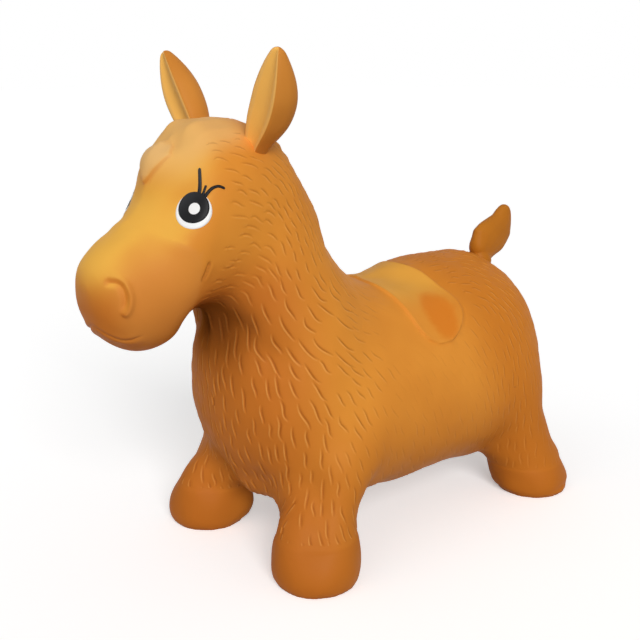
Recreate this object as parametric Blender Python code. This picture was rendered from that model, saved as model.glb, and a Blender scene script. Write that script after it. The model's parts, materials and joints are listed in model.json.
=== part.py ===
"""Bouncy ride-on horse: one air-filled moulded skin, with ears to hold, a tail, painted eyes and a belly valve.

Metres, +Z up. The horse looks along -Y and its left side is +X. The origin is on the floor under the middle.
"""
import math

import bmesh
import bpy
from mathutils import Vector
from mathutils.bvhtree import BVHTree

# Driving dimensions of the skin
body_length = 0.612
poll_height = 0.460
muzzle_width = 0.106
head_width = 0.140
neck_width = 0.165
barrel_width = 0.246
skin_wall = 0.0025

# Legs and hooves
leg_track = 0.194
front_hoof_reach = 0.1095
rear_hoof_reach = 0.2465
leg_diameter = 0.086
hoof_diameter = 0.093
front_hoof_height = 0.047
rear_hoof_height = 0.035
ankle_height = 0.082
front_groin_height = 0.0545
rear_groin_height = 0.046
hoof_step = 0.0014
sole_round = 0.010
sole_trim = 0.004

# Ears: held like handles, each bends about its base line, which lies along its long round root
ear_length = 0.100
ear_width = 0.045
ear_thickness = 0.038
ear_cup = 0.0065
ear_bow = 0.005
ear_splay = 28.3
ear_tilt = 6.3
ear_root_radius = 0.0150
ear_root_reach = 0.0185
root_clearance = 0.0004

# Tail: a flat flame that sways about a fore-and-aft axis at its round root
tail_length = 0.081
tail_thickness = 0.021
tail_lean = 31
tail_root_radius = 0.0135

# Saddle and forelock, moulded in one with the skin
saddle_drop = 69
saddle_lift = 0.0022
saddle_dish = 0.0008
forelock_half_width = 0.034
forelock_lift = 0.0085
forelock_root_lift = 0.0016
mould_embed = 0.0012
nostril_radius = 0.0165
nostril_rim = 0.0034

# Eyes: three paint films side by side on each cheek
eye_radius = 0.0168
pupil_radius = 0.0145
pupil_rise = 0.0030
glint_radius = 0.0054
glint_aft = 0.0007
glint_rise = 0.0021
lash_width = 0.0026
paint_thickness = 0.0004
paint_gap = 0.0004

# Air valve in the belly and its push-in plug
valve_back = 0.037
plug_head_diameter = 0.016
plug_head_thickness = 0.0022
plug_stem_diameter = 0.0082
plug_stem_length = 0.016
plug_step = 0.0008
plug_step_count = 3
plug_clearance = 0.0003
valve_boss_diameter = 0.026
valve_boss_depth = 0.010

# How finely the pieces are faceted
ring_points = 12
leg_points = 8
smooth_levels = 2
skin_facet_share = 0.34
hollow_facet_share = 0.13
saddle_rows = 29
round_segments = 20
root_rings = 10
eye_segments = 32
film_columns = 3
glint_rings = 2
sharp_angle = 35
cut_overrun = 0.010

widths = {
    "muzzle": muzzle_width,
    "head": head_width,
    "neck": neck_width,
    "barrel": barrel_width,
}
# How far back the middle of the skin lies from the middle over the tail
skin_middle_share = -0.0049
# Each station of the trunk: its name, the width it follows and the share of that width, the back line's place and the
# belly line's place, as shares of body_length back from the middle and of poll_height, and how far up it is widest
station_shares = [
    ("rump_end", "barrel", 0.38, (0.460, 0.425), (0.452, 0.295), 0.50),
    ("rump", "barrel", 0.66, (0.446, 0.546), (0.434, 0.195), 0.46),
    ("hip_back", "barrel", 0.81, (0.400, 0.612), (0.424, 0.137), 0.42),
    ("hip", "barrel", 0.95, (0.328, 0.628), (0.380, 0.108), 0.42),
    ("hip_front", "barrel", 0.99, (0.262, 0.640), (0.300, 0.086), 0.42),
    ("belly", "barrel", 0.98, (0.170, 0.632), (0.130, 0.098), 0.42),
    ("shoulder_back", "barrel", 0.98, (0.085, 0.616), (-0.090, 0.110), 0.42),
    ("shoulder", "barrel", 0.96, (0.030, 0.624), (-0.152, 0.128), 0.42),
    ("shoulder_front", "barrel", 0.90, (-0.010, 0.650), (-0.208, 0.145), 0.44),
    ("chest", "barrel", 0.84, (-0.044, 0.694), (-0.246, 0.262), 0.48),
    ("neck_base", "neck", 1.10, (-0.065, 0.748), (-0.264, 0.385), 0.50),
    ("neck", "neck", 0.99, (-0.089, 0.815), (-0.272, 0.500), 0.50),
    ("throat", "neck", 0.92, (-0.112, 0.885), (-0.278, 0.585), 0.52),
    ("nape", "head", 1.00, (-0.148, 0.962), (-0.290, 0.602), 0.56),
    ("poll", "head", 1.01, (-0.216, 1.012), (-0.306, 0.592), 0.58),
    ("brow", "head", 1.00, (-0.322, 0.998), (-0.327, 0.575), 0.58),
    ("eye", "head", 0.93, (-0.370, 0.885), (-0.352, 0.557), 0.55),
    ("nose_bridge", "muzzle", 0.98, (-0.412, 0.800), (-0.376, 0.543), 0.50),
    ("muzzle", "muzzle", 1.00, (-0.454, 0.768), (-0.408, 0.540), 0.50),
    ("lips", "muzzle", 0.78, (-0.480, 0.735), (-0.448, 0.558), 0.50),
    ("muzzle_end", "muzzle", 0.40, (-0.489, 0.690), (-0.480, 0.612), 0.50),
]
belly_fullness_share = 0.86
# Where the legs leave the trunk: the middle station of each pair, and the ring segments left open for the leg
leg_root_stations = {"front": "shoulder", "rear": "hip"}
leg_segments = (3, 5)
groin_share = 0.5
# How far in from the foot, and how far towards the root, the ankle and the top of the hoof lie
ankle_track_shares = {"front": 0.85, "rear": 0.82}
ankle_lean_shares = {"front": 0.24, "rear": 0.72}
hoof_lean_share = 0.35
fetlock_share = 1.15
middle_share = 0.5
sole_flat_share = 0.6

# Places inside the head and the back, in the same shares, from which a straight line in the given direction meets
# the skin
eye_core_share = (-0.2584, 0.7643)
eye_facing = Vector((0.65, -0.66, 0.38)).normalized()
ear_core_share = (-0.2206, 0.8554)
ear_facing = Vector((0.72, 0, 0.69)).normalized()
nostril_core_share = (-0.4052, 0.6630)
nostril_facing = Vector((0.62, -0.77, 0.12)).normalized()
tail_core_share = (0.4069, 0.4350)
saddle_axis_share = 0.3913
forelock_core_share = (-0.3186, 0.8043)

# Ear blade: how far along it, its width, its thickness and the depth of its cup
ear_blade_shares = [
    (0.00, 0.54, 0.54, 0.00),
    (0.10, 0.84, 0.71, 0.30),
    (0.22, 0.98, 0.92, 0.70),
    (0.38, 1.03, 1.00, 0.95),
    (0.55, 0.99, 0.96, 1.00),
    (0.72, 0.82, 0.80, 0.85),
    (0.87, 0.54, 0.54, 0.55),
    (0.965, 0.27, 0.30, 0.25),
]
ear_blade_points = 16
ear_corner_power = 0.8
# Tail blade: how far along it, its front edge, its back edge and its thickness
tail_blade_shares = [
    (0.00, 0.12, -0.11, 0.70),
    (0.18, 0.28, -0.22, 0.86),
    (0.36, 0.35, -0.31, 1.00),
    (0.50, 0.28, -0.38, 1.00),
    (0.62, 0.16, -0.40, 0.92),
    (0.74, 0.075, -0.34, 0.80),
    (0.85, 0.045, -0.275, 0.68),
    (0.94, 0.00, -0.205, 0.54),
    (0.985, -0.05, -0.125, 0.34),
]
tail_blade_points = 12
# Saddle: how far down the side, and its front and back edges as shares of body_length
saddle_edge_shares = [
    (0.00, 0.056, 0.158),
    (0.25, 0.049, 0.173),
    (0.52, 0.058, 0.181),
    (0.70, 0.064, 0.190),
    (0.80, 0.067, 0.187),
    (0.88, 0.073, 0.175),
    (0.95, 0.084, 0.156),
    (1.00, 0.103, 0.134),
]
saddle_column_shares = (0.0, 0.10, 0.30, 0.50, 0.70, 0.90, 1.0)
# Forelock: its angle back from upright, its half width and its lift
forelock_shares = [
    (36, 0.80, 0.00),
    (22, 0.95, 0.06),
    (6, 1.00, 0.14),
    (-5, 0.97, 0.26),
    (-13, 0.86, 0.90),
    (-22, 0.76, 1.00),
    (-33, 0.64, 0.66),
    (-45, 0.45, 0.28),
    (-56, 0.24, 0.04),
]
forelock_column_shares = (-1.0, -0.62, -0.2, 0.2, 0.62, 1.0)
forelock_crown_share = 0.75
# Lashes: the ring segment each grows from, and its path aft and up from the eye's centre as shares of eye_radius
lash_shares = [
    (6, [(0.31, 1.25), (0.31, 1.69), (0.27, 2.10), (0.235, 2.33)]),
    (5, [(0.56, 1.10), (0.645, 1.37)]),
    (4, [(0.80, 1.10), (1.08, 1.31), (1.33, 1.375), (1.61, 1.30)]),
]
lash_taper_share = 0.75
# From where to where the white crescent and the nostril's ridge run, in degrees up from the aft direction
white_arc = (32, -212)
nostril_arc = (118, -70)
nostril_steps = 11


def clear_scene():
    for thing in list(bpy.data.objects):
        bpy.data.objects.remove(thing)


def ring_factor(points):
    """How much wider a ring's cage is than the smooth surface it gives."""
    return 6 / (4 + 2 * math.cos(2 * math.pi / points))


def signed_power(value, power):
    return math.copysign(abs(value) ** power, value)


def core_place(shares):
    """A place in the middle plane, from its shares of the body's length and of the poll's height."""
    return Vector((0, (shares[0] + skin_middle_share) * body_length, shares[1] * poll_height))


def leg_stations():
    """The names of the stations round a leg's root."""
    names = [row[0] for row in station_shares]
    middles = [names.index(name) for name in leg_root_stations.values()]
    return {names[middle + step] for middle in middles for step in (-1, 0, 1)}


def station_ring(row):
    name, width_name, width_share, back, belly, widest_share = row
    half = widths[width_name] * width_share / 2
    top, low = core_place(back), core_place(belly)
    middle = low.lerp(top, widest_share)
    factor = ring_factor(ring_points)
    ring = []
    for k in range(ring_points):
        angle = 2 * math.pi * k / ring_points
        up, out = math.cos(angle), math.sin(angle)
        upper = k in (0, 1, 2, 3, ring_points - 1, ring_points - 2, ring_points - 3)
        fullness = 1 if upper or width_name != "barrel" else belly_fullness_share
        reach = top - middle if upper else middle - low
        offset = reach * signed_power(up, fullness)
        offset += Vector((half * signed_power(out, fullness), 0, 0))
        ring.append(middle + offset * factor)
    if name in leg_stations():
        lowest = ring_points // 2
        for k in (lowest - 1, lowest + 1):
            ring[k] = ring[lowest].lerp(ring[k], groin_share)
    return ring


def leg_ring(centre, radius, side, height, inner_height):
    """A ring of a leg, which may lie lower on its inner side than on its outer side."""
    factor = ring_factor(leg_points)
    ring = []
    for k in range(leg_points):
        angle = 2 * math.pi * k / leg_points
        inwards = (1 - math.cos(angle)) / 2
        place = centre + Vector((side * math.cos(angle), math.sin(angle), 0)) * radius * factor
        place.z = height + (inner_height - height) * inwards
        ring.append(place)
    return ring


def leg_levels(end):
    """The outer and inner height, the radius and the lean of each ring of a leg, from the ankle down."""
    front = end == "front"
    hoof_height = front_hoof_height if front else rear_hoof_height
    groin_height = front_groin_height if front else rear_groin_height
    leg_radius, hoof_radius = leg_diameter / 2, hoof_diameter / 2
    fetlock_height = hoof_height * fetlock_share
    step_top = hoof_height + hoof_step
    inner_fetlock_height = step_top + (groin_height - step_top) * middle_share
    middle_height = hoof_height * middle_share
    return [
        (ankle_height, groin_height, leg_radius, 1),
        (fetlock_height, inner_fetlock_height, leg_radius, fetlock_height / ankle_height),
        (step_top, step_top, leg_radius, hoof_lean_share),
        (hoof_height, hoof_height, leg_radius + hoof_step, hoof_lean_share),
        (middle_height, middle_height, hoof_radius, 0),
        (sole_round, sole_round, hoof_radius, 0),
        (-sole_trim, -sole_trim, hoof_radius - sole_round * middle_share, 0),
        (-sole_trim, -sole_trim, hoof_radius * sole_flat_share, 0),
    ]


def add_leg(bm, loop, end, side):
    """Carries the open edge of a leg's patch down to a closed sole."""
    reach = rear_hoof_reach if end == "rear" else -front_hoof_reach
    foot = Vector((side * leg_track / 2, reach, 0))
    root = sum((v.co for v in loop), Vector()) / leg_points
    ankle_reach = foot.y + (root.y - foot.y) * ankle_lean_shares[end]
    ankle = Vector((foot.x * ankle_track_shares[end], ankle_reach, 0))
    for height, inner_height, radius, lean in leg_levels(end):
        places = leg_ring(foot.lerp(ankle, lean), radius, side, height, inner_height)
        ring = [bm.verts.new(p) for p in places]
        for k in range(leg_points):
            n = (k + 1) % leg_points
            bm.faces.new((loop[k], loop[n], ring[n], ring[k]))
        loop = ring
    bm.faces.new(loop)


def leg_opening(rings, end, side):
    """The eight cage points round a leg's root, from its outer side backwards."""
    names = [row[0] for row in station_shares]
    middle = names.index(leg_root_stations[end])
    first, last = leg_segments
    ks = [first, (first + last) // 2, last]
    if side < 0:
        ks = [(ring_points - k) % ring_points for k in ks]
    behind, at, ahead = rings[middle - 1], rings[middle], rings[middle + 1]
    outer, lower, inner = ks
    loop = [at[outer], behind[outer], behind[lower], behind[inner]]
    loop += [at[inner], ahead[inner], ahead[lower], ahead[outer]]
    patches = set()
    for k in range(first, last):
        patches |= {(i, k if side > 0 else ring_points - 1 - k) for i in (middle - 1, middle)}
    return loop, patches


def trunk_cage():
    """The cage of the skin's outer surface: rings along the trunk, with the four legs grown from its sides."""
    bm = bmesh.new()
    rings = [[bm.verts.new(p) for p in station_ring(row)] for row in station_shares]
    legs = [(end, side, *leg_opening(rings, end, side)) for end in leg_root_stations for side in (1, -1)]
    left_open = set().union(*(patches for _, _, _, patches in legs))
    for i in range(len(rings) - 1):
        for k in range(ring_points):
            if (i, k) not in left_open:
                n = (k + 1) % ring_points
                bm.faces.new((rings[i][k], rings[i][n], rings[i + 1][n], rings[i + 1][k]))
    bm.faces.new(rings[0])
    bm.faces.new(rings[-1])
    for end, side, loop, _ in legs:
        add_leg(bm, loop, end, side)
    bmesh.ops.delete(bm, geom=[v for v in bm.verts if not v.link_faces], context="VERTS")
    bmesh.ops.recalc_face_normals(bm, faces=bm.faces)
    return bm


def hollow_cage():
    """The skin's cage drawn in by the wall, and kept a wall above the floor."""
    bm = trunk_cage()
    bm.normal_update()
    moves = [(v, v.normal * skin_wall * v.calc_shell_factor()) for v in bm.verts]
    for v, move in moves:
        v.co -= move
        v.co.z = max(v.co.z, skin_wall)
    return bm


def add_object(name, bm, place=None):
    """A new object whose mesh is in world places, with its origin moved to the given place."""
    if place is not None:
        bmesh.ops.translate(bm, vec=-place, verts=bm.verts)
    mesh = bpy.data.meshes.new(name)
    bm.to_mesh(mesh)
    bm.free()
    thing = bpy.data.objects.new(name, mesh)
    if place is not None:
        thing.location = place
    bpy.context.scene.collection.objects.link(thing)
    return thing


def as_guide(thing):
    thing.hide_render = True
    thing.display_type = "WIRE"
    return thing


def add_boolean(thing, other, operation):
    modifier = thing.modifiers.new(f"{operation.lower()} {other.name}", "BOOLEAN")
    modifier.object = as_guide(other)
    modifier.operation = operation
    modifier.solver = "EXACT"


def smoothed(name, bm, facet_share):
    """A cage's smooth surface, with the facets thinned where it is nearly flat."""
    thing = add_object(name, bm)
    smooth = thing.modifiers.new("smooth", "SUBSURF")
    smooth.levels = smooth.render_levels = smooth_levels
    thin = thing.modifiers.new("thin", "DECIMATE")
    thin.ratio = facet_share
    thin.use_symmetry = True
    thin.symmetry_axis = "X"
    return thing


def surface_of(thing):
    bpy.context.view_layer.update()
    return BVHTree.FromObject(thing, bpy.context.evaluated_depsgraph_get())


def met_from(surface, start, facing):
    """Where a line from inside the skin comes out, and the skin's direction there."""
    place, normal, _, _ = surface.ray_cast(start, facing)
    return place, normal


def mirrored(vector, side):
    return Vector((vector.x * side, vector.y, vector.z))


def tangent_frame(facing, side):
    """The aft and up directions square to a facing direction."""
    up = (Vector((0, 0, 1)) - facing * facing.z).normalized()
    aft = up.cross(facing) * side
    return aft, up


def closed_sheet(low, high, faces):
    """A closed solid between two sheets of points that share their faces."""
    bm = bmesh.new()
    sheets = [[bm.verts.new(p) for p in sheet] for sheet in (low, high)]
    uses = {}
    for face in faces:
        for sheet in sheets:
            bm.faces.new([sheet[i] for i in face])
        for edge in zip(face, face[1:] + face[:1]):
            uses[frozenset(edge)] = uses.get(frozenset(edge), 0) + 1
    for (a, b), count in uses.items():
        if count == 1:
            bm.faces.new((sheets[0][a], sheets[0][b], sheets[1][b], sheets[1][a]))
    bmesh.ops.recalc_face_normals(bm, faces=bm.faces)
    return bm


def grid_faces(rows, columns, wrapped=False):
    """The faces of a grid numbered row by row, whose last row may join the first."""
    faces = []
    for i in range(rows if wrapped else rows - 1):
        n = (i + 1) % rows
        for j in range(columns - 1):
            faces.append([i * columns + j, n * columns + j, n * columns + j + 1, i * columns + j + 1])
    return faces


def read_table(table, share):
    """Each column of a table at a share of its first column, between its rows."""
    for before, after in zip(table, table[1:]):
        if share <= after[0]:
            part = (share - before[0]) / (after[0] - before[0])
            return [a + (b - a) * part for a, b in zip(before, after)]
    return list(table[-1])


def saddle_solid(surface):
    """A pad over the back that follows the skin, dished between raised edges."""
    low, high = [], []
    for i in range(saddle_rows):
        turn = 2 * i / (saddle_rows - 1) - 1
        _, front, back = read_table(saddle_edge_shares, abs(turn))
        angle = math.radians(saddle_drop * turn)
        facing = Vector((math.sin(angle), 0, math.cos(angle)))
        low_row, high_row = [], []
        for share in saddle_column_shares:
            start = core_place((front + (back - front) * share, saddle_axis_share))
            place, normal = met_from(surface, start, facing)
            dish = saddle_dish * math.sin(math.pi * share)
            low_row.append(place - normal * mould_embed)
            high_row.append(place + normal * (saddle_lift - dish))
        low += low_row
        high += high_row
    return closed_sheet(low, high, grid_faces(saddle_rows, len(low_row)))


def forelock_solid(surface):
    """A tuft that lies from between the ears down the forehead and stands out at its blunt tip."""
    low, high = [], []
    for back_angle, width_share, lift_share in forelock_shares:
        angle = math.radians(back_angle)
        facing = Vector((0, math.sin(angle), math.cos(angle)))
        lift = forelock_root_lift + (forelock_lift - forelock_root_lift) * lift_share
        low_row, high_row = [], []
        for share in forelock_column_shares:
            start = core_place(forelock_core_share)
            start.x = forelock_half_width * width_share * share
            place, normal = met_from(surface, start, facing)
            crown = 1 - forelock_crown_share * share ** 2
            low_row.append(place - normal * mould_embed)
            high_row.append(place + normal * lift * crown)
        low += low_row
        high += high_row
    return closed_sheet(low, high, grid_faces(len(forelock_shares), len(low_row)))


def nostril_solid(surface, side):
    """A half-moon ridge that tapers to both ends."""
    facing = mirrored(nostril_facing, side)
    aft, up = tangent_frame(facing, side)
    bm = bmesh.new()
    first, last = nostril_arc
    before = None
    for i in range(nostril_steps):
        angle = math.radians(first + (last - first) * i / (nostril_steps - 1))
        outwards = aft * math.cos(angle) + up * math.sin(angle)
        start = core_place(nostril_core_share) + outwards * nostril_radius
        place, normal = met_from(surface, start, facing)
        rim = nostril_rim * (middle_share + (1 - middle_share) * math.sin(math.pi * i / (nostril_steps - 1)))
        centre = place - normal * rim * middle_share
        ring = []
        for k in range(leg_points):
            turn = 2 * math.pi * k / leg_points
            ring.append(bm.verts.new(centre + (outwards * math.cos(turn) + normal * math.sin(turn)) * rim))
        if before:
            for k in range(leg_points):
                n = (k + 1) % leg_points
                bm.faces.new((before[k], before[n], ring[n], ring[k]))
        else:
            bm.faces.new(ring)
        before = ring
    bm.faces.new(before)
    bmesh.ops.recalc_face_normals(bm, faces=bm.faces)
    return bm


def root_ball(hinge, added):
    """A ball drawn out along its hinge axis, so that it turns in a socket of the same facets, with a wall added."""
    place, axis, radius, reach = hinge
    bm = bmesh.new()
    bmesh.ops.create_uvsphere(bm, u_segments=round_segments, v_segments=root_rings, radius=radius + added)
    bmesh.ops.scale(bm, vec=(1, 1, (reach + added) / (radius + added)), verts=bm.verts)
    turn = Vector((0, 0, 1)).rotation_difference(axis).to_matrix()
    bmesh.ops.rotate(bm, cent=(0, 0, 0), matrix=turn, verts=bm.verts)
    bmesh.ops.translate(bm, vec=place, verts=bm.verts)
    return bm


def lofted(rings):
    """A closed solid through rings of points, with flat ends."""
    bm = bmesh.new()
    loops = [[bm.verts.new(p) for p in ring] for ring in rings]
    for before, after in zip(loops, loops[1:]):
        for k in range(len(before)):
            n = (k + 1) % len(before)
            bm.faces.new((before[k], before[n], after[n], after[k]))
    bm.faces.new(loops[0])
    bm.faces.new(loops[-1])
    bmesh.ops.recalc_face_normals(bm, faces=bm.faces)
    return bm


def ear_rings(root, side):
    """The blade's rings: a leaf that faces forwards, with a cup down its front."""
    splay, tilt = math.radians(ear_splay), math.radians(ear_tilt)
    along = Vector((side * math.sin(splay), -math.sin(tilt), math.cos(splay))).normalized()
    across = Vector((side, 0, 0))
    across = (across - along * across.dot(along)).normalized()
    backwards = Vector((0, 1, 0))
    backwards = (backwards - along * backwards.dot(along)).normalized()
    rings = []
    for share, width_share, thickness_share, cup_share in ear_blade_shares:
        bow = (across + backwards) * ear_bow * math.sin(math.pi * share)
        centre = root + along * ear_length * share + bow
        ring = []
        for k in range(ear_blade_points):
            angle = 2 * math.pi * k / ear_blade_points
            out = signed_power(math.cos(angle), ear_corner_power)
            back = signed_power(math.sin(angle), ear_corner_power)
            depth = ear_thickness / 2 * thickness_share * back
            if back < 0:
                depth += ear_cup * cup_share * (1 - out ** 2)
            ring.append(centre + across * ear_width / 2 * width_share * out + backwards * depth)
        rings.append(ring)
    return rings


def tail_rings(root):
    lean = math.radians(tail_lean)
    along = Vector((0, math.sin(lean), math.cos(lean)))
    forwards = Vector((0, -math.cos(lean), math.sin(lean)))
    rings = []
    for share, front_share, back_share, thickness_share in tail_blade_shares:
        middle, half = (front_share + back_share) / 2, (front_share - back_share) / 2
        ring = []
        for k in range(tail_blade_points):
            angle = 2 * math.pi * k / tail_blade_points
            reach = (middle + half * math.cos(angle)) * tail_length
            out = tail_thickness / 2 * thickness_share * math.sin(angle)
            ring.append(root + along * tail_length * share + forwards * reach + Vector((out, 0, 0)))
        rings.append(ring)
    return rings


def rooted_blade(name, rings, hinge):
    """A blade joined to the ball at its root, with its origin on the hinge axis."""
    blade = add_object(name, lofted(rings), hinge[0])
    add_boolean(blade, add_object(f"{name}_ball", root_ball(hinge, 0)), "UNION")
    return blade


def circle_places(radius, aft, up, angles):
    return [(aft + radius * math.cos(a), up + radius * math.sin(a)) for a in angles]


def places_between(inner, outer, columns):
    """Rows of flat places from each inner place to its outer one."""
    rows = []
    for (aft, up), (far_aft, far_up) in zip(inner, outer):
        for c in range(columns):
            part = c / (columns - 1)
            rows.append((aft + (far_aft - aft) * part, up + (far_up - up) * part))
    return rows


def paint_film(surface, side, places, faces):
    """A film of paint: flat places, aft and up from the eye's centre, laid on the cheek."""
    facing = mirrored(eye_facing, side)
    aft, up = tangent_frame(facing, side)
    core = core_place(eye_core_share)
    low, high = [], []
    for place_aft, place_up in places:
        place, normal = met_from(surface, core + aft * place_aft + up * place_up, facing)
        low.append(place + normal * paint_gap)
        high.append(place + normal * (paint_gap + paint_thickness))
    return closed_sheet(low, high, faces)


def full_turn(steps):
    return [2 * math.pi * k / steps for k in range(steps)]


def pupil_film(surface, side):
    """The black ring round the glint, with its three lashes grown from its rim."""
    angles = full_turn(eye_segments)
    inner = circle_places(glint_radius + paint_gap, glint_aft, glint_rise, angles)
    outer = circle_places(pupil_radius, 0, pupil_rise, angles)
    columns = film_columns
    places = places_between(inner, outer, columns)
    faces = grid_faces(eye_segments, columns, wrapped=True)
    for segment, path in lash_shares:
        pair = [segment * columns + columns - 1, (segment + 1) * columns + columns - 1]
        before = Vector(places[pair[0]]).lerp(Vector(places[pair[1]]), middle_share)
        for i, share in enumerate(path):
            here = Vector(share) * eye_radius
            aside = (here - before).orthogonal().normalized()
            half = lash_width / 2 * (1 - (1 - lash_taper_share) * i / (len(path) - 1))
            places += [tuple(here + aside * half * turn) for turn in (-1, 1)]
            new_pair = [len(places) - 2, len(places) - 1]
            faces.append([pair[0], pair[1], new_pair[1], new_pair[0]])
            pair, before = new_pair, here
    return paint_film(surface, side, places, faces)


def glint_film(surface, side):
    places, faces = [(glint_aft, glint_rise)], []
    for r in range(1, glint_rings + 1):
        places += circle_places(glint_radius * r / glint_rings, glint_aft, glint_rise, full_turn(round_segments))
    for k in range(round_segments):
        n = (k + 1) % round_segments
        faces.append([0, 1 + k, 1 + n])
        for r in range(glint_rings - 1):
            here, out = 1 + r * round_segments, 1 + (r + 1) * round_segments
            faces.append([here + k, out + k, out + n, here + n])
    return paint_film(surface, side, places, faces)


def white_film(surface, side):
    """The white crescent that shows round the front, the bottom and the back of the black."""
    first, last = white_arc
    angles = [math.radians(first + (last - first) * k / eye_segments) for k in range(eye_segments + 1)]
    inner = circle_places(pupil_radius + paint_gap, 0, pupil_rise, angles)
    outer = circle_places(eye_radius, 0, 0, angles)
    return paint_film(surface, side, places_between(inner, outer, 2), grid_faces(eye_segments + 1, 2))


def turned(place, profile):
    """A closed turned solid on an upright axis, from radius and height pairs that start and end on the axis."""
    bm = bmesh.new()
    rings = []
    for radius, height in profile:
        if radius == 0:
            rings.append([bm.verts.new(place + Vector((0, 0, height)))] * round_segments)
            continue
        around = [Vector((math.cos(a), math.sin(a), 0)) for a in full_turn(round_segments)]
        rings.append([bm.verts.new(place + radius * out + Vector((0, 0, height))) for out in around])
    for before, after in zip(rings, rings[1:]):
        for k in range(round_segments):
            n = (k + 1) % round_segments
            corners = (before[k], before[n], after[n], after[k])
            bm.faces.new(list(dict.fromkeys(corners)))
    bmesh.ops.recalc_face_normals(bm, faces=bm.faces)
    return bm


def column(place, radius, low, high):
    return turned(place, [(0, low), (radius, low), (radius, high), (0, high)])


def plug_solid(place):
    """A flat head under the belly and a stem that steps down to its tip."""
    head, stem = plug_head_diameter / 2, plug_stem_diameter / 2
    top = plug_head_thickness + plug_stem_length
    profile = [(0, 0), (head - plug_step, 0), (head, plug_step), (head, plug_head_thickness)]
    profile.append((stem, plug_head_thickness))
    for step in range(plug_step_count):
        radius = stem - plug_step * step
        height = plug_head_thickness + plug_stem_length * (step + 1) / plug_step_count
        profile += [(radius, height), (radius - plug_step, height)]
    profile.append((0, top))
    return turned(place, profile)


def floor_cutter():
    bm = bmesh.new()
    bmesh.ops.create_cube(bm, size=1)
    size = Vector((2 * barrel_width, 2 * body_length, cut_overrun))
    bmesh.ops.scale(bm, vec=size, verts=bm.verts)
    bmesh.ops.translate(bm, vec=(0, 0, -cut_overrun / 2), verts=bm.verts)
    return bm


def material(name, colour, roughness):
    made = bpy.data.materials.new(name)
    made.use_nodes = True
    shader = made.node_tree.nodes["Principled BSDF"]
    shader.inputs["Base Color"].default_value = (*colour, 1)
    shader.inputs["Roughness"].default_value = roughness
    shader.inputs["Metallic"].default_value = 0
    return made


def finish(thing, look):
    thing.data.materials.clear()
    thing.data.materials.append(look)
    thing.data.shade_smooth()
    thing.data.set_sharp_from_angle(angle=math.radians(sharp_angle))


clear_scene()

# The smooth skin before anything is cut from it or joined to it
skin = smoothed("skin", trunk_cage(), skin_facet_share)
surface = surface_of(skin)

# Places that the ears, the tail and the valve take from the skin
ear_roots = {}
for side in (1, -1):
    ear_roots[side], _ = met_from(surface, core_place(ear_core_share), mirrored(ear_facing, side))
tail_root, _ = met_from(surface, core_place(tail_core_share), Vector((0, 0, 1)))
valve_mouth, _ = met_from(surface, Vector((0, valve_back, poll_height * saddle_axis_share)), Vector((0, 0, -1)))

# Each hinge: its place, its axis, and the root's radius across the axis and reach along it
base_line = Vector((ear_facing.z, 0, -ear_facing.x))
hinges = {
    "ear_left": (ear_roots[1], base_line, ear_root_radius, ear_root_reach),
    "ear_right": (ear_roots[-1], -mirrored(base_line, -1), ear_root_radius, ear_root_reach),
    "tail": (tail_root, Vector((0, 1, 0)), tail_root_radius, tail_root_radius),
}

# The hollow inside the skin, which leaves bosses for the roots and the valve
hollow = smoothed("hollow", hollow_cage(), hollow_facet_share)
for name, hinge in hinges.items():
    boss = root_ball(hinge, root_clearance + skin_wall)
    add_boolean(hollow, add_object(f"{name}_boss", boss), "DIFFERENCE")
boss = column(valve_mouth, valve_boss_diameter / 2, -cut_overrun, valve_boss_depth)
add_boolean(hollow, add_object("valve_boss", boss), "DIFFERENCE")

# The skin's moulded pads and rims, its flat soles, its hollow, its sockets and its valve hole
add_boolean(skin, add_object("saddle", saddle_solid(surface)), "UNION")
add_boolean(skin, add_object("forelock", forelock_solid(surface)), "UNION")
for side, side_name in ((1, "left"), (-1, "right")):
    add_boolean(skin, add_object(f"nostril_{side_name}", nostril_solid(surface, side)), "UNION")
add_boolean(skin, add_object("floor", floor_cutter()), "DIFFERENCE")
add_boolean(skin, hollow, "DIFFERENCE")
for name, hinge in hinges.items():
    add_boolean(skin, add_object(f"{name}_socket", root_ball(hinge, root_clearance)), "DIFFERENCE")
head_hole = plug_head_diameter / 2 + plug_clearance
stem_hole = plug_stem_diameter / 2 + plug_clearance
head_room = plug_head_thickness + 2 * plug_clearance
bore_profile = [(0, -cut_overrun), (head_hole, -cut_overrun), (head_hole, head_room), (stem_hole, head_room)]
bore_top = valve_boss_depth + cut_overrun
bore_profile += [(stem_hole, bore_top), (0, bore_top)]
add_boolean(skin, add_object("valve_bore", turned(valve_mouth, bore_profile)), "DIFFERENCE")

# The pieces that move
blades = {
    "ear_left": ear_rings(ear_roots[1], 1),
    "ear_right": ear_rings(ear_roots[-1], -1),
    "tail": tail_rings(tail_root),
}
moving = {name: rooted_blade(name, rings, hinges[name]) for name, rings in blades.items()}
plug_place = valve_mouth + Vector((0, 0, plug_clearance))
valve_plug = add_object("valve_plug", plug_solid(plug_place), plug_place)

# The painted eyes
eyes = []
for side, side_name in ((1, "left"), (-1, "right")):
    for name, film in (("eye_white", white_film), ("eye_black", pupil_film), ("eye_glint", glint_film)):
        eyes.append(add_object(f"{name}_{side_name}", film(surface, side)))

# Colours from the toy: orange rubber, brighter on the ears and browner on the tail
finish(skin, material("orange rubber", (0.62, 0.22, 0.03), 0.45))
blade_colours = {"ear_left": (0.76, 0.30, 0.03), "ear_right": (0.76, 0.30, 0.03), "tail": (0.43, 0.15, 0.02)}
for name, colour in blade_colours.items():
    finish(moving[name], material(f"{name} rubber", colour, 0.42))
finish(valve_plug, material("white plug", (0.85, 0.85, 0.82), 0.40))
for eye in eyes:
    colour = (0.012, 0.012, 0.014) if "black" in eye.name else (0.92, 0.92, 0.90)
    finish(eye, material(f"{eye.name} paint", colour, 0.25))
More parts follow.
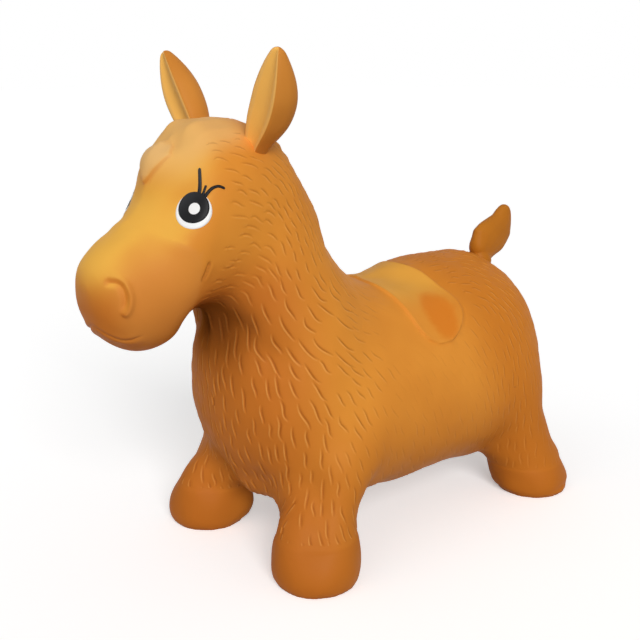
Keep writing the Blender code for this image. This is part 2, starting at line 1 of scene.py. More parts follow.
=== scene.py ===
# %% [markdown]
# # A bouncy ride-on horse
# The real toy is one air-filled bag of soft orange rubber. Head, trunk, legs, saddle and fur are all
# pressed into it by the mould, and only the eyes are painted on. This lesson dresses the plain solids of
# that toy. The frame holds them at their real size, so it is loaded first and nothing in it is moved.
# Lengths are in metres, and in a table that says so in millimetres.

# %% Load the frame
import json
import math
import random
from itertools import product

import bmesh
import bpy
import numpy as np
from mathutils import Matrix, Vector
from mathutils.bvhtree import BVHTree
from mathutils.kdtree import KDTree


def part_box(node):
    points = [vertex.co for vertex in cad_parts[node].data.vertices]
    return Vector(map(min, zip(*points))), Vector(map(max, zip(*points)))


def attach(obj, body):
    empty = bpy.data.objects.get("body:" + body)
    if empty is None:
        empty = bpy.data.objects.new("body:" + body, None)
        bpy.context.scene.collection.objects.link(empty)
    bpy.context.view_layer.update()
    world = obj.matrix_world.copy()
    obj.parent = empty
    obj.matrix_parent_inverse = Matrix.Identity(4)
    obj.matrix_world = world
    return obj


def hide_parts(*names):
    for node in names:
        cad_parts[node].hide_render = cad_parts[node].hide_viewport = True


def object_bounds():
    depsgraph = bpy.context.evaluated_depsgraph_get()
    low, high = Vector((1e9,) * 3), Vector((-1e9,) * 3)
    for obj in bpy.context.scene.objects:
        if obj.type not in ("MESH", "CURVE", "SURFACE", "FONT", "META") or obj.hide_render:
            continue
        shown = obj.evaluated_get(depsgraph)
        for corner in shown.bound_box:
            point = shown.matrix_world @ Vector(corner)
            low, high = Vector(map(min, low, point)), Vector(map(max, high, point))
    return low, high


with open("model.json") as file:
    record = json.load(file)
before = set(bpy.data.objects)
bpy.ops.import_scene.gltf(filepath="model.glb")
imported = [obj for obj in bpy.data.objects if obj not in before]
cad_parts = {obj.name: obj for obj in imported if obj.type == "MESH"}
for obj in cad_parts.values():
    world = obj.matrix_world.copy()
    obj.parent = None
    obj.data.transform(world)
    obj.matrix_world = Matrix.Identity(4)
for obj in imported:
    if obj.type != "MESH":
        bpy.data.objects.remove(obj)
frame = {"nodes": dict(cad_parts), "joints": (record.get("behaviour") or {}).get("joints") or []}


def to_print(vector):
    return tuple(round(v, 4) for v in vector)


def add_object(name, data):
    thing = bpy.data.objects.new(name, data)
    bpy.context.scene.collection.objects.link(thing)
    return thing


solid_low, solid_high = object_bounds()
hinge_places = {j["child"]: Vector(j["pos_m"]) for j in frame["joints"] if "pos_m" in j}
hinge_axes = {j["child"]: Vector(j["axis"]).normalized() for j in frame["joints"] if "pos_m" in j}
plug_low, plug_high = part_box("valve_plug")
valve_axis = (plug_low + plug_high) / 2
print("solids from", to_print(solid_low), "to", to_print(solid_high))

# %% [markdown]
# ## The camera
# The photograph looks at the horse's left side from ahead and a little above. The camera is set first,
# because every later choice is judged through it. It stands on a ball round a target inside the trunk, and
# its lens comes from the focal length that made the solid's outline lie on the photographed one.

# %% Set the camera
photo_width = 640
focal_pixels = 956
sensor_width = 0.036
camera_turn, camera_rise = math.radians(49.2), math.radians(14.4)
camera_distance = 1.0502
camera_target = Vector((0, -0.0206, 0.2399))
camera_back = Vector((
    math.sin(camera_turn) * math.cos(camera_rise),
    -math.cos(camera_turn) * math.cos(camera_rise),
    math.sin(camera_rise),
))
camera_data = bpy.data.cameras.new("camera")
camera_data.sensor_width = sensor_width * 1000
camera_data.lens = camera_data.sensor_width * focal_pixels / photo_width
camera = add_object("camera", camera_data)
camera.location = camera_target + camera_back * camera_distance
camera.rotation_euler = camera_back.to_track_quat("Z", "Y").to_euler()
bpy.context.scene.camera = camera
print("camera at", to_print(camera.location), "lens", round(camera_data.lens, 2), "mm")

# %% [markdown]
# ## The outside of the skin
# The solid skin has an inner wall, three round sockets for the ears and the tail, and a stepped bore for
# the valve. The looks need only its outside, as one closed surface that can be sculpted. So a copy of the
# solid is merged, the bore is cut away, which parts the inner wall from the outer one, the inner wall and
# the sockets are dropped, and the round holes that they leave are filled.

# %% Keep the outside of the skin
merge_distance = 0.00001
# Each socket's radius across its hinge and its reach along it
ear_socket, tail_socket = (0.0156, 0.0191), (0.0141, 0.0141)
bore_radius = (plug_high.x - plug_low.x) / 2 + 0.0007


def new_object(name, bm):
    """An object from a bmesh, at the origin, with its place in its mesh."""
    mesh = bpy.data.meshes.new(name)
    bm.to_mesh(mesh)
    bm.free()
    return add_object(name, mesh)


def merged_copy(node):
    bm = bmesh.new()
    bm.from_mesh(frame["nodes"][node].data)
    bmesh.ops.remove_doubles(bm, verts=bm.verts, dist=merge_distance)
    return bm


def drop_faces(bm, unwanted):
    doomed = [f for f in bm.faces if unwanted(f.calc_center_median())]
    bmesh.ops.delete(bm, geom=doomed, context="FACES")
    return len(doomed)


def in_bore(place):
    return (place - valve_axis).xy.length < bore_radius and place.z < plug_high.z + bore_radius


def in_socket(place):
    for child, hinge in hinge_places.items():
        radius, reach = tail_socket if child == "tail" else ear_socket
        along = (place - hinge).dot(hinge_axes[child])
        across = (place - hinge - hinge_axes[child] * along).length
        if (along / reach) ** 2 + (across / radius) ** 2 < 1:
            return True
    return False


def outside_of_skin():
    bm = merged_copy("skin")
    dropped = drop_faces(bm, in_bore)
    reached = {max(bm.verts, key=lambda v: v.co.z)}
    waiting = list(reached)
    while waiting:
        for edge in waiting.pop().link_edges:
            for vert in edge.verts:
                if vert not in reached:
                    reached.add(vert)
                    waiting.append(vert)
    bmesh.ops.delete(bm, geom=[v for v in bm.verts if v not in reached], context="VERTS")
    dropped += drop_faces(bm, in_socket)
    bmesh.ops.holes_fill(bm, edges=[e for e in bm.edges if e.is_boundary], sides=0)
    bmesh.ops.triangulate(bm, faces=bm.faces)
    print("outside of the skin:", len(bm.faces), "faces after", dropped, "of the bore and sockets went")
    return new_object("skin_dressed", bm)


skin = outside_of_skin()

# %% [markdown]
# ## An even, smooth surface
# The solid is faceted, and facets would catch the light on soft rubber. A voxel remesh lays even squares
# over it, and then each point is moved halfway to the mean of its neighbours many times. That alone shrinks
# a round leg, so the smoothing is run a second time on its own result and the loss is given back. The soles
# keep their edges: they take only a few rounds. Two subdivisions then make the squares small enough to
# sculpt.

# %% Lay even squares over the skin and smooth them
voxel = 0.004
sculpt_levels = 2
smooth_rounds, crisp_rounds = 22, 3
sole_edge = (0.01, 0.026)


def apply_modifiers(thing):
    graph = bpy.context.evaluated_depsgraph_get()
    mesh = bpy.data.meshes.new_from_object(thing.evaluated_get(graph))
    thing.modifiers.clear()
    thing.data = mesh


def remesh(thing, size):
    cubes = thing.modifiers.new("even squares", "REMESH")
    cubes.mode = "VOXEL"
    cubes.voxel_size = size
    apply_modifiers(thing)


def subdivide(thing, levels):
    finer = thing.modifiers.new("finer", "SUBSURF")
    finer.levels = finer.render_levels = levels
    apply_modifiers(thing)


def vectors(rows, name):
    """A named vector of each row of a mesh, as an array."""
    values = np.empty(len(rows) * 3, np.float32)
    rows.foreach_get(name, values)
    return values.reshape(-1, 3).astype(float)


def places_of(thing):
    return vectors(thing.data.vertices, "co")


def directions_of(thing):
    return vectors(thing.data.vertex_normals, "vector")


def set_places(thing, places):
    thing.data.vertices.foreach_set("co", places.astype(np.float32).ravel())
    thing.data.update()


def ramp(value, low, high):
    """0 below low, 1 above high, and a soft S between them."""
    share = np.clip((value - low) / (high - low), 0, 1)
    return share * share * (3 - 2 * share)


def tree_of(thing):
    """A tree of the mesh that finds the nearest point and casts lines."""
    bm = bmesh.new()
    bm.from_mesh(thing.data)
    tree = BVHTree.FromBMesh(bm)
    bm.free()
    return tree


def relaxer(thing):
    """A function that moves points halfway to the mean of their neighbours, some rounds over."""
    ends = np.empty(len(thing.data.edges) * 2, np.int64)
    thing.data.edges.foreach_get("vertices", ends)
    first, second = ends.reshape(-1, 2).T
    count = len(thing.data.vertices)
    near = np.maximum(np.bincount(first, minlength=count) + np.bincount(second, minlength=count), 1)

    def relax(places, rounds):
        for _ in range(rounds):
            columns = []
            for c in range(3):
                total = np.bincount(first, places[second, c], count)
                columns.append((total + np.bincount(second, places[first, c], count)) / near)
            places = (places + np.stack(columns, 1)) / 2
        return places

    return relax


def relaxed(thing, rounds):
    """Smoothed places that keep their volume."""
    relax = relaxer(thing)
    once = relax(places_of(thing), rounds)
    return 2 * once - relax(once, rounds)


remesh(skin, voxel)
soft, crisp = relaxed(skin, smooth_rounds), relaxed(skin, crisp_rounds)
rough = places_of(skin)
keep = 1 - ramp(rough[:, 2], *sole_edge)[:, None]
set_places(skin, soft * (1 - keep) + crisp * keep)
base_places, base_directions = places_of(skin), directions_of(skin)
subdivide(skin, sculpt_levels)
print("even surface:", len(base_places), "points, then", len(skin.data.vertices), "to sculpt")

# %% [markdown]
# ## Sculpting by formula
# A sculptor's stroke is a height along a line: so far from the line, so high. The helpers below measure how
# far each point of the skin lies from a line drawn on it. The horse is alike on both sides, so one line
# drawn on its left serves both, by looking at the distance from the middle plane without its sign.

# %% Measure distances from a line on the skin


def curve_through(corners, steps=8):
    """A smooth curve through the corners, as points."""
    corners = np.array(corners, float)
    padded = np.vstack((2 * corners[0] - corners[1], corners, 2 * corners[-1] - corners[-2]))
    places = []
    for a, b, c, d in zip(padded, padded[1:], padded[2:], padded[3:]):
        for step in range(steps):
            t = step / steps
            pull, bend, twist = c - a, 2 * a - 5 * b + 4 * c - d, 3 * b - a - 3 * c + d
            places.append(0.5 * (2 * b + pull * t + bend * t**2 + twist * t**3))
    places.append(corners[-1])
    return np.array(places)


def from_line(places, line):
    """How far each place lies from a line, how far along it from 0 to 1, and the way from it."""
    nearest = np.full(len(places), np.inf)
    along, away = np.zeros(len(places)), np.zeros_like(places)
    walked = np.concatenate(([0], np.cumsum(np.linalg.norm(np.diff(line, axis=0), axis=1))))
    for i, start in enumerate(line[:-1]):
        step = line[i + 1] - start
        share = np.clip((places - start) @ step / (step @ step), 0, 1)
        offset = places - start - share[:, None] * step
        distance = np.linalg.norm(offset, axis=1)
        nearer = distance < nearest
        nearest[nearer], away[nearer] = distance[nearer], offset[nearer]
        along[nearer] = (walked[i] + share[nearer] * (walked[i + 1] - walked[i])) / walked[-1]
    return nearest, along, away


def near_line(folded, line, reach):
    """The places in the box round a line, and what from_line says of them."""
    low, high = line.min(0) - reach, line.max(0) + reach
    near = np.flatnonzero(((folded >= low) & (folded <= high)).all(1))
    return near, *from_line(folded[near], line)


def folded_over(places):
    """The places, with the right side's laid over the left one's."""
    return np.stack((abs(places[:, 0]), places[:, 1], places[:, 2]), 1)


def bump(distance, width):
    """A soft ridge, 1 on the line and nearly gone a width away."""
    return np.exp(-((distance / (width / 2)) ** 2))


places, directions = places_of(skin), directions_of(skin)
folded = folded_over(places)
print("spacing of the sculpted points is about", round(voxel / 2**sculpt_levels * 1000, 2), "mm")

# %% [markdown]
# ## Broad forms
# The solid has the right masses, but a few hollows of the real moulding are deeper: the throat behind the
# jaw, the dip ahead of the saddle, the front of each leg's root, and the bridge of the nose below the tuft.
# Each is pressed in with a soft round push, as with a thumb in clay. A slow, shallow unevenness then takes
# away the look of a machine.

# %% Push the broad forms in and out
# In millimetres: the place on the left side, how wide the push is, and how far it goes out
pushes = [
    (10, -213.5, 442.5, 14, -5.8),
    (18, -188, 453, 16, 5),
    (8, -242, 390, 26, -3.5),
    (48, -220.5, 392, 19, -5.8),
    (37, -237, 376, 21, -4),
    (22, -270, 350, 14, 1.4),
    (27, -99, 434, 6, 2.6),
    (31, -90, 423, 5, 1.5),
    (46, -72, 370, 18, 3),
    (50, -52, 330, 16, -3.5),
    (36, -201, 281.5, 21, -9.5),
    (18, -174, 260, 28, -11.5),
    (45, -160, 258, 20, -8.5),
    (67, -142, 235, 20, -6.8),
    (67, -143, 168, 24, 2),
    (106, -114, 92, 24, -12.5),
    (116, -120, 72, 20, -6),
    (122, -136, 45, 18, -4.2),
    (30, -133, 86, 30, -8.8),
    (58, -133, 56, 15, -6),
    (56, -80, 22, 18, 7.8),
    (68, 30, 64, 36, 4.2),
    (92, -26, 78, 24, 5.2),
    (10, 40, 285, 30, -7),
    (43, 80, 280, 26, -6.5),
    (58, 106, 273, 18, -2),
    (8, 204, 288, 24, 4.5),
    (112, 246, 107, 18, -3.4),
    (118, 264, 48, 16, 4),
    (137, 256, 12, 18, -4),
    (60, 170, 54, 30, 6.2),
    (64, 208, 18, 18, 4.5),
    (96, 204, 12, 15, 3),
]
uneven_height = 0.00028
uneven_waves = 26
wave_lengths = (0.022, 0.06)
# The soles stay flat: below these heights, where the skin faces down by these shares, nothing is pushed
sole_heights, sole_shares = (0.01, 0.018), (0.2, 0.6)
millimetres = 1000


def unevenness(places):
    """A slow wavy height from many crossing waves."""
    random.seed(11)
    total = np.zeros(len(places))
    for _ in range(uneven_waves):
        heading = Vector((random.gauss(0, 1), random.gauss(0, 1), random.gauss(0, 1))).normalized()
        wave = random.uniform(*wave_lengths)
        total += np.sin(places @ np.array(heading) * math.tau / wave + random.uniform(0, math.tau))
    return total / math.sqrt(uneven_waves)


def pushed(folded, pushes):
    """How far each place is moved outwards by all the pushes."""
    height = np.zeros(len(folded))
    for *centre, width, out in np.array(pushes) / millimetres:
        height += out * np.exp(-((np.linalg.norm(folded - centre, axis=1) / width) ** 2))
    return height


height = pushed(folded, pushes) + uneven_height * unevenness(places)
height *= np.maximum(ramp(places[:, 2], *sole_heights), 1 - ramp(-directions[:, 2], *sole_shares))
places += directions * height[:, None]
set_places(skin, places)
directions = directions_of(skin)
print(len(pushes), "pushes, deepest", round(height.min() * 1000, 1), "mm")

# %% [markdown]
# ## Saddle, hooves and face
# The saddle is a thin pad with a clear edge, and each hoof starts at a small step. Smoothing has blurred
# both edges, so each gets a sharp step, less the blurred one that is there already. On the face the mould
# has half-moon nostrils, a mouth line with a full lower lip, a muzzle that swells ahead of the cheek, and a
# crease at the corner of the jaw.

# %% Sculpt the saddle's edge and the hooves
saddle_axis_height = 0.18
saddle_reach = 0.118
# How far round from the top in degrees, and the front and back edges of the saddle
saddle_edges = [
    (0.0, 0.0313, 0.0937),
    (17.2, 0.027, 0.1029),
    (35.9, 0.0325, 0.1078),
    (48.3, 0.0362, 0.1133),
    (55.2, 0.038, 0.1114),
    (60.7, 0.0417, 0.1041),
    (65.6, 0.0484, 0.0925),
    (69.0, 0.06, 0.079),
]
saddle_lift = 0.0022
blur_width = 0.018
step_width = 0.0022
lip_lift = 0.0005
hoof_heights = {"front": 0.047, "rear": 0.035}
hoof_lift, hoof_step_width = 0.0007, 0.005
edge_turn, edge_margin = 15, 0.03
# The line behind the flap: its depth and width, how far inside the edge and how far back it lies, and the
# degrees over which it fades in and out
line_depth, line_width, line_gap, line_back = 0.0005, 0.0022, 0.005, 0.08
line_start, line_end = (46, 52), (60, 65)


def sharpened(inwards, lift, width):
    """A crisp step where a blurred one is."""
    crisp_step = ramp(inwards, -width / 2, width / 2)
    blurred_step = ramp(inwards, -blur_width, blur_width)
    return lift * (crisp_step - blurred_step)


def saddle_turn(folded):
    """How far round the saddle's axis from the top each place lies, in degrees."""
    return np.degrees(np.arctan2(folded[:, 0], folded[:, 2] - saddle_axis_height))


def saddle_inwards(folded):
    """How far inside the saddle's edge each place lies, in metres, and less than zero outside it."""
    turn = saddle_turn(folded)
    flat = np.stack((np.radians(turn) * saddle_reach, folded[:, 1]), 1)
    angles, fronts, backs = np.array(saddle_edges).T
    arcs = np.radians(angles) * saddle_reach
    corners = list(zip(arcs, fronts)) + list(zip(arcs[::-1], backs[::-1]))
    corners = [(-arcs[1], fronts[1])] + corners + [(-arcs[1], backs[1])]
    edge = curve_through(corners)
    result = np.full(len(folded), -1.0)
    near = (turn < angles[-1] + edge_turn) & (flat[:, 1] > fronts.min() - edge_margin)
    near = np.flatnonzero(near & (flat[:, 1] < backs.max() + edge_margin))
    distance, _, _ = from_line(flat[near], edge)
    inside = (turn[near] < angles[-1]) & (flat[near, 1] > np.interp(turn[near], angles, fronts))
    inside &= flat[near, 1] < np.interp(turn[near], angles, backs)
    result[near] = np.where(inside, distance, -distance)
    return result


def hoof_inwards(folded):
    """How far below the hoof's top each place lies."""
    return np.where(folded[:, 1] < 0, hoof_heights["front"], hoof_heights["rear"]) - folded[:, 2]


inwards = saddle_inwards(folded)
turn = saddle_turn(folded)
height = sharpened(inwards, saddle_lift, step_width) + lip_lift * bump(inwards - step_width, 2 * step_width)
behind_flap = ramp(turn, *line_start) * (1 - ramp(turn, *line_end)) * (folded[:, 1] > line_back)
height -= line_depth * bump(inwards + line_gap, line_width) * behind_flap
hoof_depth = hoof_inwards(folded)
height += sharpened(hoof_depth, hoof_lift, hoof_step_width) * (hoof_depth < blur_width)
lowest, highest = round(height.min() * 1000, 2), round(height.max() * 1000, 2)
print("saddle edge and hooves sculpted, from", lowest, "to", highest, "mm")

# %% Sculpt the face
tuft_line = curve_through([(0, -0.206, 0.445), (0, -0.218, 0.435), (0, -0.226, 0.422), (0, -0.233, 0.4)])
tuft_shares = (0, 0.15, 0.35, 0.55, 0.8, 1)
tuft_widths = (0.006, 0.016, 0.022, 0.017, 0.008, 0)
nostril_line = curve_through([
    (0.0237, -0.294, 0.3275),
    (0.0302, -0.2892, 0.3292),
    (0.0372, -0.2834, 0.3277),
    (0.0423, -0.2797, 0.3222),
    (0.0458, -0.2784, 0.3114),
    (0.0446, -0.2802, 0.3012),
    (0.0395, -0.2847, 0.2937),
])
nostril_centre = np.array((0.03, -0.29, 0.311))
mouth_line = curve_through([
    (0.0, -0.2935, 0.28),
    (0.0107, -0.2907, 0.2771),
    (0.0212, -0.2838, 0.2714),
    (0.0297, -0.2755, 0.2689),
    (0.0433, -0.2637, 0.2762),
])
jaw_crease = curve_through([
    (0.0663, -0.2072, 0.3397),
    (0.0644, -0.2106, 0.3289),
    (0.0618, -0.215, 0.3181),
])
muzzle_edge = curve_through([
    (0.0, -0.256, 0.3735),
    (0.0082, -0.2543, 0.3721),
    (0.0324, -0.2484, 0.3662),
    (0.059, -0.2283, 0.3557),
    (0.0664, -0.2134, 0.3469),
])
face_reach = 0.016
# Each form's height or depth, and its width
nostril_rim, nostril_dish, nostril_hollow = (0.0029, 0.0062), (0.0022, 0.0062), (0.0008, 0.026)
dish_gap = 0.0046
mouth_groove, crease_groove, crease_roll = (0.0012, 0.0028), (0.0022, 0.0026), (0.0008, 0.006)
# The lips: their height, and how far above or below the mouth line and how wide each is
lip_height, upper_lip, lower_lip = 0.0009, (0.0042, 0.007), (-0.0048, 0.008)
tuft_top, tuft_fall, tuft_side = 0.005, 0.003, 0.0014
tuft_edge = (-0.0008, 0.0016)
crown_height, crown_wave = 0.0005, 0.0155
# Where the crown starts and ends: heights, places aside, and its back and front along the body
crown_heights, crown_aside = (0.43, 0.446), (0.03, 0.046)
crown_back, crown_front = (-0.165, -0.145), (-0.206, -0.19)
roll_gap = 0.0035
swell_height, swell_rise, swell_fall = 0.0012, (-0.007, 0.006), (0.002, face_reach)


def ridge(distance, form):
    """A soft ridge of a form's height and width."""
    height, width = form
    return height * bump(distance, width)


def tapered(along, start, end):
    """1 along the middle of a line, falling to 0 over its first and last shares."""
    return ramp(along, 0, start) * (1 - ramp(along, 1 - end, 1))


def tuft_at(folded):
    """The places near the tuft, and how far inside its edge, from its line and along it they lie."""
    near, distance, along, _ = near_line(folded, tuft_line, 2 * face_reach)
    return near, np.interp(along, tuft_shares, tuft_widths) - distance, distance, along


def sculpt_tuft(folded, height):
    near, inside, distance, along = tuft_at(folded)
    raised = ramp(inside, *tuft_edge) * ramp(along, 0, 0.18)
    height[near] += (tuft_top - tuft_fall * along - tuft_side * distance / tuft_widths[2]) * raised
    crown = ramp(folded[:, 2], *crown_heights) * (1 - ramp(folded[:, 0], *crown_aside))
    crown *= 1 - ramp(folded[:, 1], *crown_back)
    crown *= ramp(folded[:, 1], *crown_front)
    height += crown_height * crown * np.cos(math.tau * folded[:, 0] / crown_wave)


def sculpt_nostril(folded, height):
    near, distance, along, away = near_line(folded, nostril_line, face_reach)
    inwards = np.sign(((nostril_centre - folded[near]) * away).sum(1))
    signed = -distance * inwards
    rim = ridge(signed, nostril_rim) * ramp(along, 0.05, 0.6) * (1 - ramp(along, 0.9, 1.0))
    dish = ridge(signed + dish_gap, nostril_dish) * tapered(along, 0.12, 0.25)
    hollow = ridge(np.linalg.norm(folded[near] - nostril_centre, axis=1), nostril_hollow)
    height[near] += rim - dish - hollow


def sculpt_mouth(folded, height):
    near, distance, along, away = near_line(folded, mouth_line, face_reach)
    signed = distance * np.sign(away[:, 2])
    fade = (1 - ramp(along, 0.75, 1.0)) * ramp(along, -0.25, 0.35)
    lips = sum(bump(signed - gap, width) for gap, width in (upper_lip, lower_lip))
    height[near] += lip_height * lips * fade - ridge(signed, mouth_groove) * fade


def sculpt_jaw(folded, height):
    near, distance, along, away = near_line(folded, jaw_crease, face_reach)
    signed = distance * np.sign(away[:, 1])
    roll = ridge(signed - roll_gap, crease_roll)
    height[near] += (roll - ridge(signed, crease_groove)) * tapered(along, 0.25, 0.25)


def sculpt_muzzle(folded, height):
    near, distance, along, away = near_line(folded, muzzle_edge, face_reach)
    signed = distance * -np.sign(away[:, 2])
    swell = swell_height * (ramp(signed, *swell_rise) - ramp(signed, *swell_fall))
    height[near] += swell * (1 - ramp(along, 0.8, 1.0))


for sculpt in (sculpt_tuft, sculpt_nostril, sculpt_mouth, sculpt_jaw, sculpt_muzzle):
    before = height.copy()
    sculpt(folded, height)
    print(sculpt.__name__, "moved", int((before != height).sum()), "points")

# %% [markdown]
# ## Fur strokes
# The mould's maker cut the fur as separate strokes, each a small lock that laps over the one behind it: a
# lip in front, a quick drop, then a slow rise. Particle hair or a bump texture would be the wrong material,
# for this is rubber. So the strokes are drawn as short wavy lines that follow a flow of the coat, and the
# skin is pushed in along each. The flow is given at a few places of the side view and blended between them.

# %% Set how the coat flows
# Place along the body and height, direction back and up, then the strokes' depth, length and curl there. The
# places and the length are in millimetres.
coat = [
    (-200, 440, 0.95, -0.3, 0.5, 12, -0.7),
    (-173, 435, 0.85, -0.5, 0.6, 12, -0.7),
    (-159, 417, 0.89, -0.46, 0.65, 13, -0.6),
    (-140, 397, 0.72, -0.7, 0.7, 12, 0.2),
    (-95, 393, 0.3, -0.95, 0.75, 11, 0.3),
    (-119, 373, 0.47, -0.88, 0.75, 11, 0.3),
    (-152, 376, 0.93, -0.36, 0.65, 13, -0.6),
    (-171, 366, 0.97, -0.22, 0.55, 15, -0.9),
    (-174, 354, 0.97, -0.24, 0.55, 15, -0.9),
    (-151, 342, 0.85, -0.5, 0.6, 13, -0.3),
    (-179, 338, 0.98, -0.15, 0.45, 15, -0.6),
    (-189, 313, 1.0, 0.1, 0.5, 15, 0.3),
    (-125, 337, 0.35, -0.94, 0.7, 11, 0.3),
    (-100, 335, 0.25, -0.97, 0.8, 11, 0.4),
    (-118, 316, 0.43, -0.9, 0.8, 13, 0.6),
    (-78, 303, 0.45, -0.9, 0.85, 15, 0.6),
    (-103, 298, 0.7, -0.7, 0.95, 18, 0.7),
    (-87, 287, 0.8, -0.6, 0.85, 21, 0.5),
    (-124, 284, 0.45, -0.9, 1.0, 21, 0.6),
    (-139, 270, 0.57, -0.82, 1.0, 22, 0.4),
    (-155, 258, 0.4, -0.92, 1.0, 20, 0.3),
    (-171, 255, 0.4, -0.92, 0.5, 16, 0.3),
    (-95, 249, 0.73, -0.69, 0.95, 22, 0.5),
    (-69, 237, 0.77, -0.63, 0.7, 17, 0.4),
    (-45, 262, 0.9, -0.45, 0.35, 14, 0.4),
    (-128, 238, 0.75, -0.66, 1.0, 19, 0.7),
    (-109, 218, 0.66, -0.75, 1.0, 20, 0.6),
    (-68, 212, 0.72, -0.69, 0.7, 16, 0.5),
    (-41, 204, 0.55, -0.83, 0.5, 15, 0.5),
    (-155, 205, 0.35, -0.93, 0.95, 18, 0.4),
    (-127, 192, 0.52, -0.85, 1.0, 20, 0.5),
    (-83, 180, 0.51, -0.86, 0.85, 19, 0.5),
    (-161, 165, 0.2, -0.98, 0.75, 18, 0.3),
    (-122, 141, 0.14, -0.99, 0.95, 19, 0.3),
    (-83, 135, 0.37, -0.93, 0.55, 15, 0.3),
    (-108, 104, 0.1, -1.0, 0.75, 15, 0.2),
    (-45, 153, 0.44, -0.9, 0.22, 16, 0.3),
    (-5, 240, 0.8, -0.6, 0.0, 15, 0.3),
    (0, 190, 0.5, -0.87, 0.16, 15, 0.3),
    (18, 120, 0.46, -0.89, 0.34, 18, 0.2),
    (77, 175, 0.5, -0.87, 0.14, 16, 0.3),
    (83, 115, 0.41, -0.91, 0.34, 18, 0.2),
    (140, 275, 0.95, -0.3, 0.5, 13, -0.3),
    (172, 278, 0.6, -0.8, 0.85, 13, 0.3),
    (181, 255, 0.5, -0.86, 0.9, 14, 0.4),
    (150, 225, 0.4, -0.92, 0.32, 14, 0.4),
    (178, 222, 0.25, -0.97, 0.65, 14, 0.3),
    (174, 171, 0.15, -0.99, 0.5, 15, 0.3),
    (197, 104, 0.2, -0.98, 0.45, 16, 0.2),
    (230, 200, 0.2, -0.98, 0.55, 15, 0.3),
    (240, 90, 0.05, -1.0, 0.32, 16, 0.2),
]
coat_units = (millimetres, millimetres, 1, 1, 1, millimetres, 1)
# The face is bare ahead of this line: height, and the place along the body where the coat starts
coat_starts = [
    (0.1, -0.3), (0.27, -0.22), (0.3, -0.213), (0.33, -0.207),
    (0.36, -0.198), (0.39, -0.194), (0.42, -0.198), (0.45, -0.205),
]
coat_table = np.array(coat) / coat_units


def coat_at(side_place):
    """The coat's direction, depth, length and curl at a place of the side view."""
    gaps = ((coat_table[:, :2] - side_place) ** 2).sum(1) + 0.00001
    weights = gaps**-2
    return weights @ coat_table[:, 2:] / weights.sum()


# Where the coat fades away: behind the face's line, round the saddle and hooves, at the tuft's side, back and
# foot, round the ears' and tail's roots, and by how far the belly faces down
bare_face, bare_saddle, bare_hoof = (0, 0.008), (-0.014, -0.007), (-0.01, -0.004)
bare_side, bare_back, bare_foot = (0.034, 0.04), (-0.15, -0.14), (0.37, 0.38)
bare_root, bare_belly = (0.018, 0.024), (0.75, 0.9)


def coat_share(places, directions):
    """1 where the coat grows, 0 on face, tuft, saddle, hooves, ear and tail roots and the belly's middle."""
    folded = folded_over(places)
    heights, starts = np.array(coat_starts).T
    share = ramp(places[:, 1] - np.interp(places[:, 2], heights, starts), *bare_face)
    share *= 1 - ramp(saddle_inwards(folded), *bare_saddle)
    share *= 1 - ramp(hoof_inwards(folded), *bare_hoof)
    tuft = (1 - ramp(folded[:, 0], *bare_side)) * (1 - ramp(places[:, 1], *bare_back))
    share *= 1 - tuft * ramp(places[:, 2], *bare_foot)
    for hinge in hinge_places.values():
        share *= ramp(np.linalg.norm(places - np.array(hinge), axis=1), *bare_root)
    return share * (1 - ramp(-directions[:, 2], *bare_belly))


print("coat set by", len(coat), "places")

# %% Draw the strokes
random.seed(7)
lane_gap, row_gap = 0.0088, 0.022
stroke_step = 0.0012
least_depth = 0.1
usual_length = 0.018
length_spread, curl_spread, swing_spread = (1.0, 1.6), (-0.35, 0.35), (-0.25, 0.35)


def tangent(vector, direction):
    return (vector - direction * vector.dot(direction)).normalized()


def coat_direction(place, direction):
    back, up, depth, length, curl = coat_at(np.array((place.y, place.z)))
    return tangent(Vector((0, back, up)), direction), depth, length, curl


def draw_stroke(place, direction):
    """Points along a curled stroke, each with its way along, its way across and its depth."""
    _, depth, length, curl = coat_direction(place, direction)
    side = 1 if place.x > 0 else -1
    length *= random.uniform(*length_spread)
    curl = (curl + random.uniform(*curl_spread)) * side
    swing = random.uniform(*swing_spread) * side
    count = max(4, int(length / stroke_step))
    here = place.copy()
    points = []
    for i in range(count + 1):
        share = i / count
        flow, _, _, _ = coat_direction(here, direction)
        turn = swing * math.cos(math.tau * share) + curl * (share - 0.5)
        heading = Matrix.Rotation(turn, 3, direction) @ flow
        across = direction.cross(heading)
        if across.y < 0:
            across = -across
        full = math.sin(math.pi * min(1, share * 0.92 + 0.06)) ** 0.8
        points.append((here.copy(), heading, across, depth * full))
        ahead, ahead_direction, _, _ = pushed_tree.find_nearest(here + heading * length / count)
        if ahead is None:
            break
        here, direction = ahead, ahead_direction
    return points


def seeds():
    """Places on the skin, spaced like bricks: close across the flow and farther along it."""
    share = coat_share(base_places, base_directions)
    order = [int(i) for i in np.flatnonzero(share > 0.5)]
    random.shuffle(order)
    cells = {}
    taken = []
    for i in order:
        place, direction, _, _ = pushed_tree.find_nearest(Vector(base_places[i]))
        flow, depth, length, _ = coat_direction(place, direction)
        if depth < least_depth:
            continue
        across = direction.cross(flow)
        scale = length / usual_length
        lane = lane_gap * (1 + scale) / 2
        cell = tuple(int(v // row_gap) for v in place)
        near = []
        for step in product((-1, 0, 1), repeat=3):
            near += cells.get(tuple(c + s for c, s in zip(cell, step)), ())
        gaps = [place - other for other in near]
        close = any((g.dot(flow) / (row_gap * scale)) ** 2 + (g.dot(across) / lane) ** 2 < 1 for g in gaps)
        if not close:
            cells.setdefault(cell, []).append(place)
            taken.append((place, direction))
    return taken


